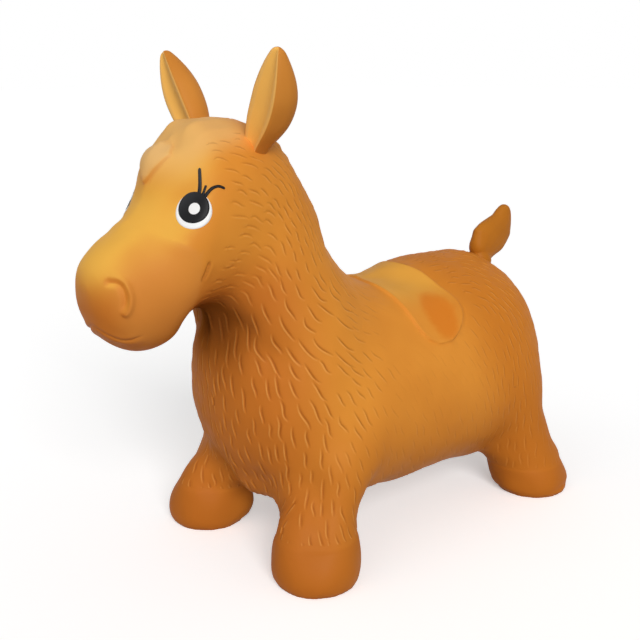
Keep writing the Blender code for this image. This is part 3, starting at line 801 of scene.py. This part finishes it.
pushed_tree = tree_of(skin)
stroke_points = []
stroke_count = 0
for place, direction in seeds():
    stroke_points += draw_stroke(place, direction)
    stroke_count += 1
stroke_tree = KDTree(len(stroke_points))
for i, point in enumerate(stroke_points):
    stroke_tree.insert(point[0], i)
stroke_tree.balance()
stroke_table = np.array([(*p, *h, *a, d) for p, h, a, d in stroke_points])
print(stroke_count, "strokes of", len(stroke_points), "points")

# %% Press the strokes into the skin
stroke_depth = 0.0012
stroke_reach = 0.0045
# How wide the drop is on its steep and its slow side, and the lip's height, place and width
steep_width, slow_width = 0.0006, 0.0013
lip_share, lip_gap, lip_width = 0.55, 0.0015, 0.0009
end_width = 0.001


def stroke_relief(places, directions):
    """How high each place stands for the strokes, from about 0.5 on a lip to -1 at the bottom of a drop."""
    relief = np.zeros(len(places))
    near, found = [], []
    for i in np.flatnonzero(coat_share(places, directions) > 0.01):
        _, index, distance = stroke_tree.find(places[i])
        if distance < stroke_reach:
            near.append(i)
            found.append(index)
    near, rows = np.array(near), stroke_table[found]
    offset = places[near] - rows[:, 0:3]
    across = (offset * rows[:, 6:9]).sum(1)
    along = (offset * rows[:, 3:6]).sum(1)
    steep, slow = np.exp(-((across / steep_width) ** 2)), np.exp(-((abs(across) / slow_width) ** 1.5))
    drop = np.where(across < 0, steep, slow)
    lip = lip_share * np.exp(-(((across + lip_gap) / lip_width) ** 2))
    ends = np.exp(-((np.maximum(abs(along) - stroke_step / 2, 0) / end_width) ** 2))
    window = 1 - ramp(np.linalg.norm(offset, axis=1), stroke_reach * 0.6, stroke_reach)
    relief[near] = (lip - drop) * rows[:, 9] * ends * window
    return relief


relief = stroke_relief(places, directions)
height += relief * stroke_depth
deepest = round(abs(relief).max() * stroke_depth * 1000, 2)
print("strokes move", int((relief != 0).sum()), "points by up to", deepest, "mm")

# %% [markdown]
# ## The valve's well, flat soles and thinning
# Under the belly the skin is pushed up round the valve, and a turned seat will line that well. The soles
# are pressed flat on the floor. The sculpted mesh is far finer than it needs to be where nothing happens,
# so Decimate thins it: it merges points where that changes the shape least, which keeps the small triangles
# along the strokes.

# %% Press the well and the soles, then thin the mesh
well_radius, well_depth, well_edge = 0.0094, 0.021, 0.0008
sole_flat = 0.0012
most_triangles = 196000


def press_well(places):
    reach = np.linalg.norm(places[:, :2] - np.array(valve_axis.xy), axis=1)
    pressed = (1 - ramp(reach, well_radius - well_edge, well_radius)) * (places[:, 2] < plug_high.z)
    places[:, 2] += well_depth * pressed


places += directions * height[:, None]
press_well(places)
places[:, 2] = np.where(places[:, 2] < sole_flat, 0, places[:, 2])
set_places(skin, places)
thin = skin.modifiers.new("thin", "DECIMATE")
thin.ratio = most_triangles / sum(len(p.vertices) - 2 for p in skin.data.polygons)
apply_modifiers(skin)
skin.data.shade_smooth()
print("skin has", sum(len(p.vertices) - 2 for p in skin.data.polygons), "triangles")

# %% [markdown]
# ## Marks for the colours
# The rubber isn't one flat orange. It is golden on the upper face, muzzle and saddle, browner on the hooves,
# darker towards the bottom of the legs, and deeper orange in an oval on the saddle's flap. Light and shade
# are painted over that: painted shade in every stroke's drop and a painted highlight on its lip, painted
# shade on the chest and in the jaw's crease, a painted shadow under the jaw, and painted highlights on the
# forehead and the tuft. Each of these is a place on the toy, so it is stored on the mesh as an attribute that
# the material reads. That keeps each colour where it belongs in any pose.

# %% Mark the colours on the skin
# Where the painted shadow under the jaw is centred, and how wide it is
jaw_shadow_centre, jaw_shadow_width = (0.012, -0.174, 0.26), 0.04
# The oval on the saddle's flap: its middle in degrees and metres, and how far it reaches each way
oval_turn, oval_back, oval_degrees, oval_length = 52, 0.079, 17.5, 0.0225
# Where each tint starts and is full, by how far up, ahead, aside or back it lies. The facings go by which
# way the skin faces, and saddle_gold_turn by the degrees round the saddle
gold_facing, gold_up, gold_ahead = (0.38, 0.98), (0.28, 0.34), (0.165, 0.215)
saddle_gold, saddle_gold_edge, saddle_gold_turn = 0.6, (0, 0.004), (25, 52)
pale_up, pale_ahead, pale_aside = (0.395, 0.44), (0.125, 0.165), (0.035, 0.058)
muzzle_step, muzzle_facing = (-0.001, 0.005), (0.35, 0.85)
facet_edge, facet_along = (0.0005, 0.003), (0.05, 0.25)
crease_shade_width, flap_oval, flap_edge = 0.0032, (0.72, 1.12), (0, 0.003)
hoof_step, low_up, rear_back = (-0.001, 0.002), (0.06, 0.2), (0.085, 0.17)
front_ahead, front_up = (0.07, 0.15), (0.29, 0.36)


def add_mark(thing, name, values):
    mark = thing.data.attributes.new(name, "FLOAT", "POINT")
    mark.data.foreach_set("value", np.clip(values, -1, 1).astype(np.float32))


places, directions = places_of(skin), directions_of(skin)
folded = folded_over(places)
inwards = saddle_inwards(folded)
turn = saddle_turn(folded)
# The strokes' relief again, as a mark for painted shade in each drop and a painted highlight on each lip
relief = stroke_relief(places, directions)
gold = ramp(0.8 * directions[:, 2] - 0.6 * directions[:, 1], *gold_facing)
gold *= ramp(places[:, 2], *gold_up) * ramp(-places[:, 1], *gold_ahead)
gold = np.maximum(gold, ramp(inwards, *saddle_gold_edge) * (1 - ramp(turn, *saddle_gold_turn)) * saddle_gold)
# A painted highlight on the forehead and tuft
pale = ramp(places[:, 2], *pale_up) * ramp(-places[:, 1], *pale_ahead)
pale *= 1 - ramp(folded[:, 0], *pale_aside)
edge = muzzle_edge[np.argsort(muzzle_edge[:, 2])]
muzzle = ramp(np.interp(places[:, 2], edge[:, 2], edge[:, 1]) - places[:, 1], *muzzle_step)
# A painted highlight on the tuft's lower facet
near, inside, _, along = tuft_at(folded)
facet_highlight = np.zeros(len(places))
facet_highlight[near] = ramp(inside, *facet_edge) * ramp(along, *facet_along)
# A painted shadow under the jaw, on the throat
from_throat = np.linalg.norm(folded - np.array(jaw_shadow_centre), axis=1)
shadowed = np.exp(-((from_throat / jaw_shadow_width) ** 2))
# Painted shade in the jaw's crease
crease_shade = np.zeros(len(places))
near, distance, along, _ = near_line(folded, jaw_crease, face_reach)
crease_shade[near] = bump(distance, crease_shade_width) * tapered(along, 0.2, 0.2)
oval = np.hypot((turn - oval_turn) / oval_degrees, (places[:, 1] - oval_back) / oval_length)
flap = (1 - ramp(oval, *flap_oval)) * ramp(inwards, *flap_edge)
hoof = ramp(hoof_inwards(folded), *hoof_step)
low = 1 - ramp(places[:, 2], *low_up)
rear = ramp(places[:, 1] + 0.3 * (folded[:, 2] - 0.2), *rear_back)
# Painted shade on the chest, the lower neck and the front legs, under the head
front = ramp(-places[:, 1], *front_ahead) * (1 - ramp(places[:, 2], *front_up))
muzzle *= ramp(abs(directions[:, 0]), *muzzle_facing)
marks = {
    "relief": relief, "gold": gold, "flap": flap, "hoof": hoof, "low": low, "pale": pale,
    "facet_highlight": facet_highlight, "shadowed": shadowed, "crease_shade": crease_shade, "rear": rear, "front": front,
    "muzzle": muzzle,
}
for name, values in marks.items():
    add_mark(skin, name, values)
skin_tree = tree_of(skin)
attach(skin, "body")
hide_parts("skin")
print("marks on", len(places), "points")

# %% [markdown]
# ## The orange rubber
# Soft PVC has a satin gloss: wide, weak highlights, a fine dull grain, and colour that drifts a little from
# place to place. A Principled shader carries it. The marks mix the tints, slow noise makes the drift, and
# fine noise makes the grain. Roughness is read from a noise of its own, so the gloss isn't even either.

# %% Make the rubber


def new_material(name):
    """A material, its node tree and its shader."""
    made = bpy.data.materials.new(name)
    made.use_nodes = True
    return made, made.node_tree, made.node_tree.nodes["Principled BSDF"]


def set_inputs(node, values):
    for name, value in values.items():
        node.inputs[name].default_value = value


def noise(tree, scale, detail):
    """Object-space noise from 0 to 1."""
    where = tree.nodes.new("ShaderNodeTexCoord")
    made = tree.nodes.new("ShaderNodeTexNoise")
    set_inputs(made, {"Scale": scale, "Detail": detail})
    tree.links.new(where.outputs["Object"], made.inputs["Vector"])
    return made.outputs["Fac"]


def ranged(tree, value, *limits):
    """A value moved from one range to another: from low, from high, to low, to high."""
    made = tree.nodes.new("ShaderNodeMapRange")
    set_inputs(made, dict(zip(("From Min", "From Max", "To Min", "To Max"), limits)))
    tree.links.new(value, made.inputs["Value"])
    return made.outputs["Result"]


def mixed(tree, share, first, second):
    """A colour mixed from two, each a colour or another node's output."""
    made = tree.nodes.new("ShaderNodeMix")
    made.data_type = "RGBA"
    tree.links.new(share, made.inputs["Factor"])
    for socket, colour in ((made.inputs[6], first), (made.inputs[7], second)):
        if isinstance(colour, tuple):
            socket.default_value = (*colour, 1)
        else:
            tree.links.new(colour, socket)
    return made.outputs[2]


def mark(tree, name):
    made = tree.nodes.new("ShaderNodeAttribute")
    made.attribute_name = name
    return made.outputs["Fac"]


rubber_shine = 0.1
drift_scale, dull_scale, grain_scale = 14, 60, 900
grain_strength, grain_height = 0.35, 0.0002
roughness_down, roughness_up = 0.04, 0.05


def rubber(name, base, drift, roughness):
    """Plain rubber: a base colour that drifts towards another, with a satin gloss and a fine grain."""
    made, tree, shader = new_material(name)
    slow = ranged(tree, noise(tree, drift_scale, 2), 0.35, 0.65, 0, 1)
    colour = mixed(tree, slow, base, drift)
    tree.links.new(colour, shader.inputs["Base Color"])
    least, most = roughness - roughness_down, roughness + roughness_up
    dullness = ranged(tree, noise(tree, dull_scale, 3), 0.3, 0.7, least, most)
    tree.links.new(dullness, shader.inputs["Roughness"])
    set_inputs(shader, {"Specular IOR Level": rubber_shine})
    grain = tree.nodes.new("ShaderNodeBump")
    set_inputs(grain, {"Strength": grain_strength, "Distance": grain_height})
    tree.links.new(noise(tree, grain_scale, 3), grain.inputs["Height"])
    tree.links.new(grain.outputs["Normal"], shader.inputs["Normal"])
    return made, tree, shader, colour


# Each tint: the mark that places it, the mark's range, how strong it gets, and its colour
tints = [
    ("rear", 0, 1, 0.9, (0.6, 0.19, 0.016)),
    # Painted shade on the chest, the lower neck and the front legs
    ("front", 0, 1, 0.85, (0.54, 0.152, 0.018)),
    ("low", 0, 1, 0.6, (0.47, 0.135, 0.014)),
    ("gold", 0, 1, 1.0, (0.86, 0.45, 0.07)),
    ("muzzle", 0, 1, 0.55, (0.7, 0.27, 0.05)),
    # Painted highlights on the forehead and on the tuft's facet
    ("pale", 0, 1, 0.85, (0.82, 0.46, 0.15)),
    ("facet_highlight", 0, 1, 0.35, (0.84, 0.54, 0.26)),
    ("flap", 0, 1, 0.85, (0.69, 0.195, 0.014)),
    ("hoof", 0, 1, 0.35, (0.45, 0.125, 0.012)),
    # Painted shade in each stroke's drop, and a painted highlight on each lip
    ("relief", -0.08, -0.75, 0.58, (0.26, 0.065, 0.006)),
    ("relief", 0.05, 0.45, 0.45, (0.86, 0.43, 0.11)),
    # Painted shade in the jaw's crease
    ("crease_shade", 0, 0.8, 0.85, (0.2, 0.05, 0.005)),
    # A painted shadow under the jaw
    ("shadowed", 0, 1, 0.9, (0.11, 0.028, 0.006)),
]


def skin_rubber():
    base, drift = (0.75, 0.285, 0.036), (0.7, 0.255, 0.031)
    made, tree, shader, colour = rubber("orange rubber", base, drift, 0.56)
    for name, low, high, most, tint in tints:
        colour = mixed(tree, ranged(tree, mark(tree, name), low, high, 0, most), colour, tint)
    tree.links.new(colour, shader.inputs["Base Color"])
    # Less gloss in the painted shadow under the jaw
    shine = ranged(tree, mark(tree, "shadowed"), 0, 0.6, rubber_shine, 0)
    tree.links.new(shine, shader.inputs["Specular IOR Level"])
    return made


skin.data.materials.clear()
skin.data.materials.append(skin_rubber())
print("orange rubber on", skin.name)

# %% [markdown]
# ## Ears
# Each ear is a fat rubber cone that a child can grip: a shallow cup down its front between two ridges, and
# a full round back. The solid ear is coarser, so this one is lofted about the same centre line: a grid is
# rolled into a tube whose rings follow one outline, wide or narrow by how far along the ear they are. Its
# foot goes on into the closed head, so it bends without opening a gap.

# %% Dress the ears
ear_length, ear_bow = 0.1, 0.005
ear_splay, ear_tilt = math.radians(28.3), math.radians(6.3)
# A ring's outline: outwards as a share of its half width, then back or forwards as a share of its depth
ear_outline = [
    (1.0, 0.1), (0.86, 0.62), (0.5, 0.93), (0.0, 1.0), (-0.5, 0.93), (-0.86, 0.62),
    (-1.0, 0.1), (-0.96, -0.4), (-0.85, -0.82), (-0.7, -0.98), (-0.52, -0.95), (-0.27, -0.82),
    (0.0, -0.76), (0.27, -0.82), (0.52, -0.95), (0.7, -0.98), (0.85, -0.82), (0.96, -0.4),
]
ridge_inside, ridge_outside, cup_back = 0.48, 0.72, -0.6
# Share of the length, then the half width, the front depth and the back depth there
ear_rings = [
    (-0.16, 0.0, 0.0, 0.0), (-0.13, 0.0074, 0.006, 0.0068),
    (-0.04, 0.0106, 0.0084, 0.0096), (0.06, 0.0134, 0.0106, 0.0118),
    (0.16, 0.0165, 0.0128, 0.0142), (0.28, 0.0194, 0.0145, 0.016), (0.42, 0.0206, 0.0152, 0.0166),
    (0.56, 0.0202, 0.0148, 0.016), (0.7, 0.0172, 0.0126, 0.0136), (0.82, 0.0128, 0.0094, 0.01),
    (0.91, 0.0084, 0.0062, 0.0066), (0.96, 0.0048, 0.0036, 0.0038), (0.98, 0.0, 0.0, 0.0),
]
outline_steps, ring_steps = 3, 3


def ear_surface(side):
    """A tube rolled from a grid, closed at its tip and at its foot inside the head."""
    root = hinge_places["left_ear" if side > 0 else "right_ear"]
    along = Vector((side * math.sin(ear_splay), -math.sin(ear_tilt), math.cos(ear_splay))).normalized()
    across = tangent(Vector((side, 0, 0)), along)
    backwards = tangent(Vector((0, 1, 0)), along)
    outline = curve_through(ear_outline[-1:] + ear_outline + ear_outline[:2], outline_steps)
    outline = outline[outline_steps:-outline_steps]
    rings = curve_through(ear_rings, ring_steps)
    bm = bmesh.new()
    cup, rim = bm.verts.layers.float.new("cup"), bm.verts.layers.float.new("rim")
    turns, steps = len(outline) - 1, len(rings) - 1
    for vert in bmesh.ops.create_grid(bm, x_segments=turns, y_segments=steps, size=1)["verts"]:
        out, back = outline[round((vert.co.x + 1) / 2 * turns)]
        share, half_width, front_depth, back_depth = rings[round((vert.co.y + 1) / 2 * steps)]
        half_width = max(half_width, 0)
        depth = max(back_depth if back > 0 else front_depth, 0)
        bow = (across + backwards) * ear_bow * math.sin(math.pi * max(share, 0))
        centre = root + along * ear_length * share + bow
        vert.co = centre + across * out * half_width + backwards * back * depth
        vert[cup] = back < cup_back and abs(out) < ridge_outside
        vert[rim] = back < cup_back and ridge_inside < abs(out) < ridge_outside
    bmesh.ops.remove_doubles(bm, verts=bm.verts, dist=merge_distance)
    bmesh.ops.recalc_face_normals(bm, faces=bm.faces)
    ear = new_object(f"ear_{'left' if side > 0 else 'right'}_dressed", bm)
    subdivide(ear, 1)
    ear.data.shade_smooth()
    return ear


def finish_piece(thing, look, body, node):
    thing.data.materials.clear()
    thing.data.materials.append(look)
    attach(thing, body)
    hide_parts(node)


def ear_rubber():
    base, drift = (0.64, 0.245, 0.038), (0.59, 0.215, 0.03)
    made, tree, shader, colour = rubber("ear rubber", base, drift, 0.5)
    colour = mixed(tree, mark(tree, "cup"), colour, (0.94, 0.5, 0.11))
    rim = ranged(tree, mark(tree, "rim"), 0, 1, 0, 0.7)
    colour = mixed(tree, rim, colour, (0.86, 0.48, 0.14))
    tree.links.new(colour, shader.inputs["Base Color"])
    return made


ear_look = ear_rubber()
for side, side_name in ((1, "left"), (-1, "right")):
    ear = ear_surface(side)
    finish_piece(ear, ear_look, f"{side_name}_ear", f"ear_{side_name}")
    print(ear.name, "has", len(ear.data.polygons), "faces")

# %% [markdown]
# ## Tail
# The tail is a flat flame with round edges, in a browner rubber. Its solid is close already, so it isn't
# lofted as the ears are: a copy gets even squares, is smoothed, and is made a little fuller.

# %% Dress the tail
tail_voxel = 0.0018
tail_rounds = 6
tail_fullness = 0.0016
# As the skin's pushes, in millimetres
tail_pushes = [(4, 236, 289, 12, 3.4), (4, 282, 284, 10, 2.6), (4, 262, 324, 10, 1.2)]


def dressed(node, size, rounds, pushes, fullness, levels=0):
    """A fine, smooth copy of a solid node, a little fuller."""
    thing = new_object(f"{node}_dressed", merged_copy(node))
    remesh(thing, size)
    set_places(thing, relaxed(thing, rounds))
    places = places_of(thing)
    set_places(thing, places + directions_of(thing) * (fullness + pushed(abs(places), pushes))[:, None])
    if levels:
        subdivide(thing, levels)
    thing.data.shade_smooth()
    return thing


tail = dressed("tail", tail_voxel, tail_rounds, tail_pushes, tail_fullness, 1)
tail_look = rubber("tail rubber", (0.5, 0.17, 0.014), (0.45, 0.148, 0.011), 0.5)[0]
finish_piece(tail, tail_look, "tail", "tail")
print("tail has", len(tail.data.polygons), "faces")

# %% [markdown]
# ## Painted eyes
# Each eye is three coats of paint through a mask: a white disc, a black disc with three lashes, and a white
# glint. They could be colours in the skin's material, but paint has its own gloss and a crisp edge. So each
# coat is a thin sheet, drawn flat in the eye's own plane and then laid on the sculpted skin by casting a
# line to it from each point.

# %% Lay the eyes on the skin
eye_facing = Vector((0.65, -0.66, 0.38)).normalized()
eye_core = Vector((0, -0.1611, 0.3516))
eye_radius, pupil_radius, glint_radius = 0.0168, 0.0145, 0.0054
pupil_rise = 0.003
glint_place = (0.0007, 0.0021)
disc_segments, disc_rings = 96, 10
coat_height, coat_lift = 0.00018, 0.0001
tip_start, tip_share, tip_least = 0.93, 0.07, 0.02
# Each lash: its path aft and up from the eye's centre, and its width at the root and at the tip
lashes = [
    ([(0.0046, 0.015), (0.0052, 0.021), (0.005, 0.0284), (0.004, 0.0392)], 0.0036, 0.0028),
    ([(0.008, 0.0145), (0.0094, 0.0185), (0.0108, 0.0232)], 0.0026, 0.002),
    (
        [(0.0098, 0.0125), (0.0145, 0.019), (0.0181, 0.0219), (0.0223, 0.0231), (0.027, 0.0217)],
        0.0032, 0.0022,
    ),
]


def spin_round(bm, centre, steps):
    """Spins a bmesh once round an upright line and closes its seam."""
    bmesh.ops.spin(
        bm, geom=bm.verts[:] + bm.edges[:], cent=centre, axis=(0, 0, 1), angle=math.tau,
        steps=steps, use_merge=True,
    )
    bmesh.ops.remove_doubles(bm, verts=bm.verts, dist=merge_distance)


def disc(radius, aft, up):
    """A flat disc of rings, spun from one spoke."""
    bm = bmesh.new()
    bmesh.ops.create_vert(bm, co=(0, 0, 0))
    for ring in range(1, disc_rings + 1):
        last = bm.verts[:][-1]
        grown = bmesh.ops.extrude_vert_indiv(bm, verts=[last])["verts"]
        grown[0].co = (radius * ring / disc_rings, 0, 0)
        bm.verts.ensure_lookup_table()
    spin_round(bm, (0, 0, 0), disc_segments)
    bmesh.ops.translate(bm, vec=(aft, up, 0), verts=bm.verts)
    return bm


def lash(bm, path, root_width, tip_width):
    """A strip along a path with a round tip, added to a bmesh."""
    line = curve_through(path, 10)
    made = bmesh.ops.create_grid(bm, x_segments=len(line) - 1, y_segments=2, size=1)["verts"]
    for vert in made:
        share = (vert.co.x + 1) / 2
        i = min(round(share * (len(line) - 1)), len(line) - 1)
        ahead = line[min(i + 1, len(line) - 1)] - line[max(i - 1, 0)]
        ahead /= np.linalg.norm(ahead)
        half = (root_width + (tip_width - root_width) * share) / 2
        half *= math.sqrt(max(0, 1 - max(0, (share - tip_start) / tip_share) ** 2)) + tip_least
        aside = np.array((-ahead[1], ahead[0])) * half * vert.co.y
        vert.co = (line[i][0] + aside[0], line[i][1] + aside[1], 0)


def laid_on_cheek(name, bm, side, lift):
    """A sheet drawn aft and up in the eye's plane, laid on the skin and given the thickness of paint."""
    facing = Vector((eye_facing.x * side, eye_facing.y, eye_facing.z))
    up = (Vector((0, 0, 1)) - facing * facing.z).normalized()
    aft = up.cross(facing) * side
    for vert in bm.verts:
        start = eye_core + aft * vert.co.x + up * vert.co.y + facing * solid_high.z
        place, _, _, _ = skin_tree.ray_cast(start, -facing)
        if place is None:
            place, _, _, _ = skin_tree.find_nearest(start)
        vert.co = place + facing * lift
    bmesh.ops.recalc_face_normals(bm, faces=bm.faces)
    if sum(f.normal.dot(facing) for f in bm.faces) < 0:
        bmesh.ops.reverse_faces(bm, faces=bm.faces)
    thing = new_object(name, bm)
    coat = thing.modifiers.new("coat of paint", "SOLIDIFY")
    coat.thickness = coat_height
    coat.offset = 1
    thing.data.shade_smooth()
    return thing


paint_shine = 0.14


def paint(name, colour, light, roughness):
    """Glossy enamel, with a painted reflection: a little lighter towards the top and front of each eye."""
    made, tree, shader = new_material(name)
    speckle = ranged(tree, noise(tree, 90, 2), 0.3, 0.7, 0, 0.12)
    worn = mixed(tree, speckle, colour, light)
    share = ranged(tree, mark(tree, "sheen"), 0, 1, 0, 1)
    tree.links.new(mixed(tree, share, worn, light), shader.inputs["Base Color"])
    set_inputs(shader, {"Roughness": roughness, "Specular IOR Level": paint_shine})
    return made


white_paint = paint("white paint", (0.9, 0.9, 0.89), (0.94, 0.94, 0.93), 0.3)
black_paint = paint("black paint", (0.004, 0.004, 0.005), (0.032, 0.034, 0.038), 0.42)


def add_sheen(thing, side):
    """Marks the upper front of a coat of paint, where a reflection is painted."""
    centre = places_of(thing).mean(0)
    offset = (places_of(thing) - centre) / eye_radius
    add_mark(thing, "sheen", ramp(offset @ np.array((-0.45 * side, -0.5, 0.7)), -0.15, 1.1))


for side, side_name in ((1, "left"), (-1, "right")):
    white = disc(eye_radius, 0, 0)
    black = disc(pupil_radius, 0, pupil_rise)
    for path, root_width, tip_width in lashes:
        lash(black, path, root_width, tip_width)
    glint = disc(glint_radius, *glint_place)
    for layer, (colour, bm) in enumerate((("white", white), ("black", black), ("glint", glint))):
        lift = coat_lift + layer * coat_height
        coat_piece = laid_on_cheek(f"eye_{colour}_{side_name}_dressed", bm, side, lift)
        add_sheen(coat_piece, side)
        look, slot = (black_paint, "black_paint") if colour == "black" else (white_paint, "white_paint")
        finish_piece(coat_piece, look, "body", f"eye_{colour}_{side_name}")
        print(coat_piece.name, "has", len(coat_piece.data.polygons), "faces")

# %% [markdown]
# ## The valve
# Under the belly a moulded seat holds a push-in plug. Both are round, so each is a profile spun about the
# valve's axis. The seat is a ring that stands a hair proud of the belly, then a recess for the plug's head
# and a blind bore.

# %% Turn the valve's seat and plug
turn_segments = 64
rounding, rounding_steps, sharp_degrees = 0.0003, 3, 50
plug_head_radius = (plug_high.x - plug_low.x) / 2
plug_head_height, plug_head_edge = 0.0022, 0.0006
dimple_radius, dimple_rim, dimple_depth = 0.0045, 0.0052, 0.0004
plug_stem_radius = 0.0041
plug_steps, plug_step, plug_slope = 3, 0.0008, 0.001
plug_sunk = 0.0003
valve_mouth = plug_low.z - plug_sunk
# The seat's boss, the ring round its mouth, and the recess and bore with their gaps round the plug
boss_radius, boss_height, bore_roof = 0.0088, 0.0195, 0.0008
ring_radius, ring_flat, ring_height, ring_edge, ring_proud = 0.0118, 0.011, 0.002, 0.0001, 0.0006
mouth_gap, plug_gap, recess_depth = 0.0005, 0.0003, 0.0028


def spun(name, profile):
    """A solid turned about the valve's axis from radius and height pairs that start and end on the axis."""
    bm = bmesh.new()
    verts = [bm.verts.new((valve_axis.x + radius, valve_axis.y, z)) for radius, z in profile]
    for pair in zip(verts, verts[1:]):
        bm.edges.new(pair)
    spin_round(bm, (valve_axis.x, valve_axis.y, 0), turn_segments)
    bmesh.ops.recalc_face_normals(bm, faces=bm.faces)
    thing = new_object(name, bm)
    rounded = thing.modifiers.new("rounded edges", "BEVEL")
    rounded.width = rounding
    rounded.segments = rounding_steps
    rounded.limit_method = "ANGLE"
    rounded.harden_normals = False
    thing.data.shade_smooth()
    thing.data.set_sharp_from_angle(angle=math.radians(sharp_degrees))
    return thing


seat_top = valve_mouth + boss_height
seat_profile = [
    (0, seat_top), (boss_radius, seat_top), (boss_radius, valve_mouth + ring_height),
    (ring_radius, valve_mouth + ring_height), (ring_radius, valve_mouth - ring_edge),
    (ring_flat, valve_mouth - ring_proud), (plug_head_radius + mouth_gap, valve_mouth - ring_proud),
    (plug_head_radius + plug_gap, valve_mouth + recess_depth),
    (plug_stem_radius + plug_gap, valve_mouth + recess_depth),
    (plug_stem_radius + plug_gap, seat_top - bore_roof), (0, seat_top - bore_roof),
]
valve_seat = spun("valve_seat", seat_profile)
valve_seat.data.materials.append(tail_look)
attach(valve_seat, "body")
plug_base = plug_low.z
stem_length = plug_high.z - plug_low.z - plug_head_height
plug_profile = [
    (0, plug_base + dimple_depth), (dimple_radius, plug_base + dimple_depth), (dimple_rim, plug_base),
    (plug_head_radius - plug_head_edge, plug_base), (plug_head_radius, plug_base + plug_head_edge),
    (plug_head_radius, plug_base + plug_head_height),
    (plug_stem_radius, plug_base + plug_head_height),
]
for step in range(plug_steps):
    radius = plug_stem_radius - plug_step * step
    z = plug_base + plug_head_height + stem_length * (step + 1) / plug_steps
    plug_profile += [(radius, z - plug_slope), (radius - plug_step, z)]
plug_profile.append((0, plug_high.z))
plug = spun("valve_plug_dressed", plug_profile)
plug_look, tree, plug_shader = new_material("white plug")
scuffs = ranged(tree, noise(tree, 220, 4), 0.35, 0.7, 0, 0.5)
plug_white = mixed(tree, scuffs, (0.83, 0.83, 0.8), (0.7, 0.69, 0.65))
tree.links.new(plug_white, plug_shader.inputs["Base Color"])
set_inputs(plug_shader, {"Roughness": 0.38})
finish_piece(plug, plug_look, "plug", "valve_plug")
print("valve seat and plug turned")

# %% [markdown]
# ## Floor and light
# The photograph has a plain white ground and soft light from above the camera's right shoulder, with a
# weaker one from ahead of the horse. Two wide suns do that, because a sun's light is as strong on every
# part of the toy. The world fills the shadows, and the floor looks white to the camera but sends only a
# little light back up.

# %% Light the studio
floor_size = 60
world_strength = 0.31
floor_shine = 0.36
# Each sun: the way to it from the toy, its strength and how wide it looks
suns = [
    ("key", (0.8, -0.45, 0.45), 2.1, 30),
    ("fill", (0.05, -0.85, 0.5), 0.32, 60),
]


def sun_lamp(name, towards, strength, width):
    data = bpy.data.lights.new(name, "SUN")
    data.energy = strength
    data.angle = math.radians(width)
    lamp = add_object(name, data)
    lamp.rotation_euler = Vector(towards).to_track_quat("Z", "Y").to_euler()


def seen_share(tree):
    """1 for camera, glossy and transmission rays and 0 for the rest."""
    path = tree.nodes.new("ShaderNodeLightPath")
    result = path.outputs["Is Camera Ray"]
    for name in ("Is Glossy Ray", "Is Transmission Ray"):
        either = tree.nodes.new("ShaderNodeMath")
        either.operation = "MAXIMUM"
        tree.links.new(result, either.inputs[0])
        tree.links.new(path.outputs[name], either.inputs[1])
        result = either.outputs[0]
    return result


bm = bmesh.new()
bmesh.ops.create_grid(bm, x_segments=1, y_segments=1, size=floor_size / 2)
floor = new_object("floor", bm)
floor_look, tree, floor_shader = new_material("pale floor")
seen = seen_share(tree)
floor_colour = mixed(tree, seen, (0.42, 0.4, 0.37), (1.0, 1.0, 1.0))
tree.links.new(floor_colour, floor_shader.inputs["Base Color"])
tree.links.new(ranged(tree, seen, 0, 1, 0, floor_shine), floor_shader.inputs["Emission Strength"])
set_inputs(floor_shader, {"Emission Color": (1, 1, 1, 1), "Roughness": 1, "Specular IOR Level": 0})
floor.data.materials.append(floor_look)

world = bpy.data.worlds.new("studio")
bpy.context.scene.world = world
world.use_nodes = True
tree = world.node_tree
background = tree.nodes["Background"]
set_inputs(background, {"Color": (1, 1, 1, 1)})
strength = ranged(tree, seen_share(tree), 0, 1, world_strength, 1)
tree.links.new(strength, background.inputs["Strength"])
for sun in suns:
    sun_lamp(*sun)
bpy.context.scene.view_settings.view_transform = "Standard"
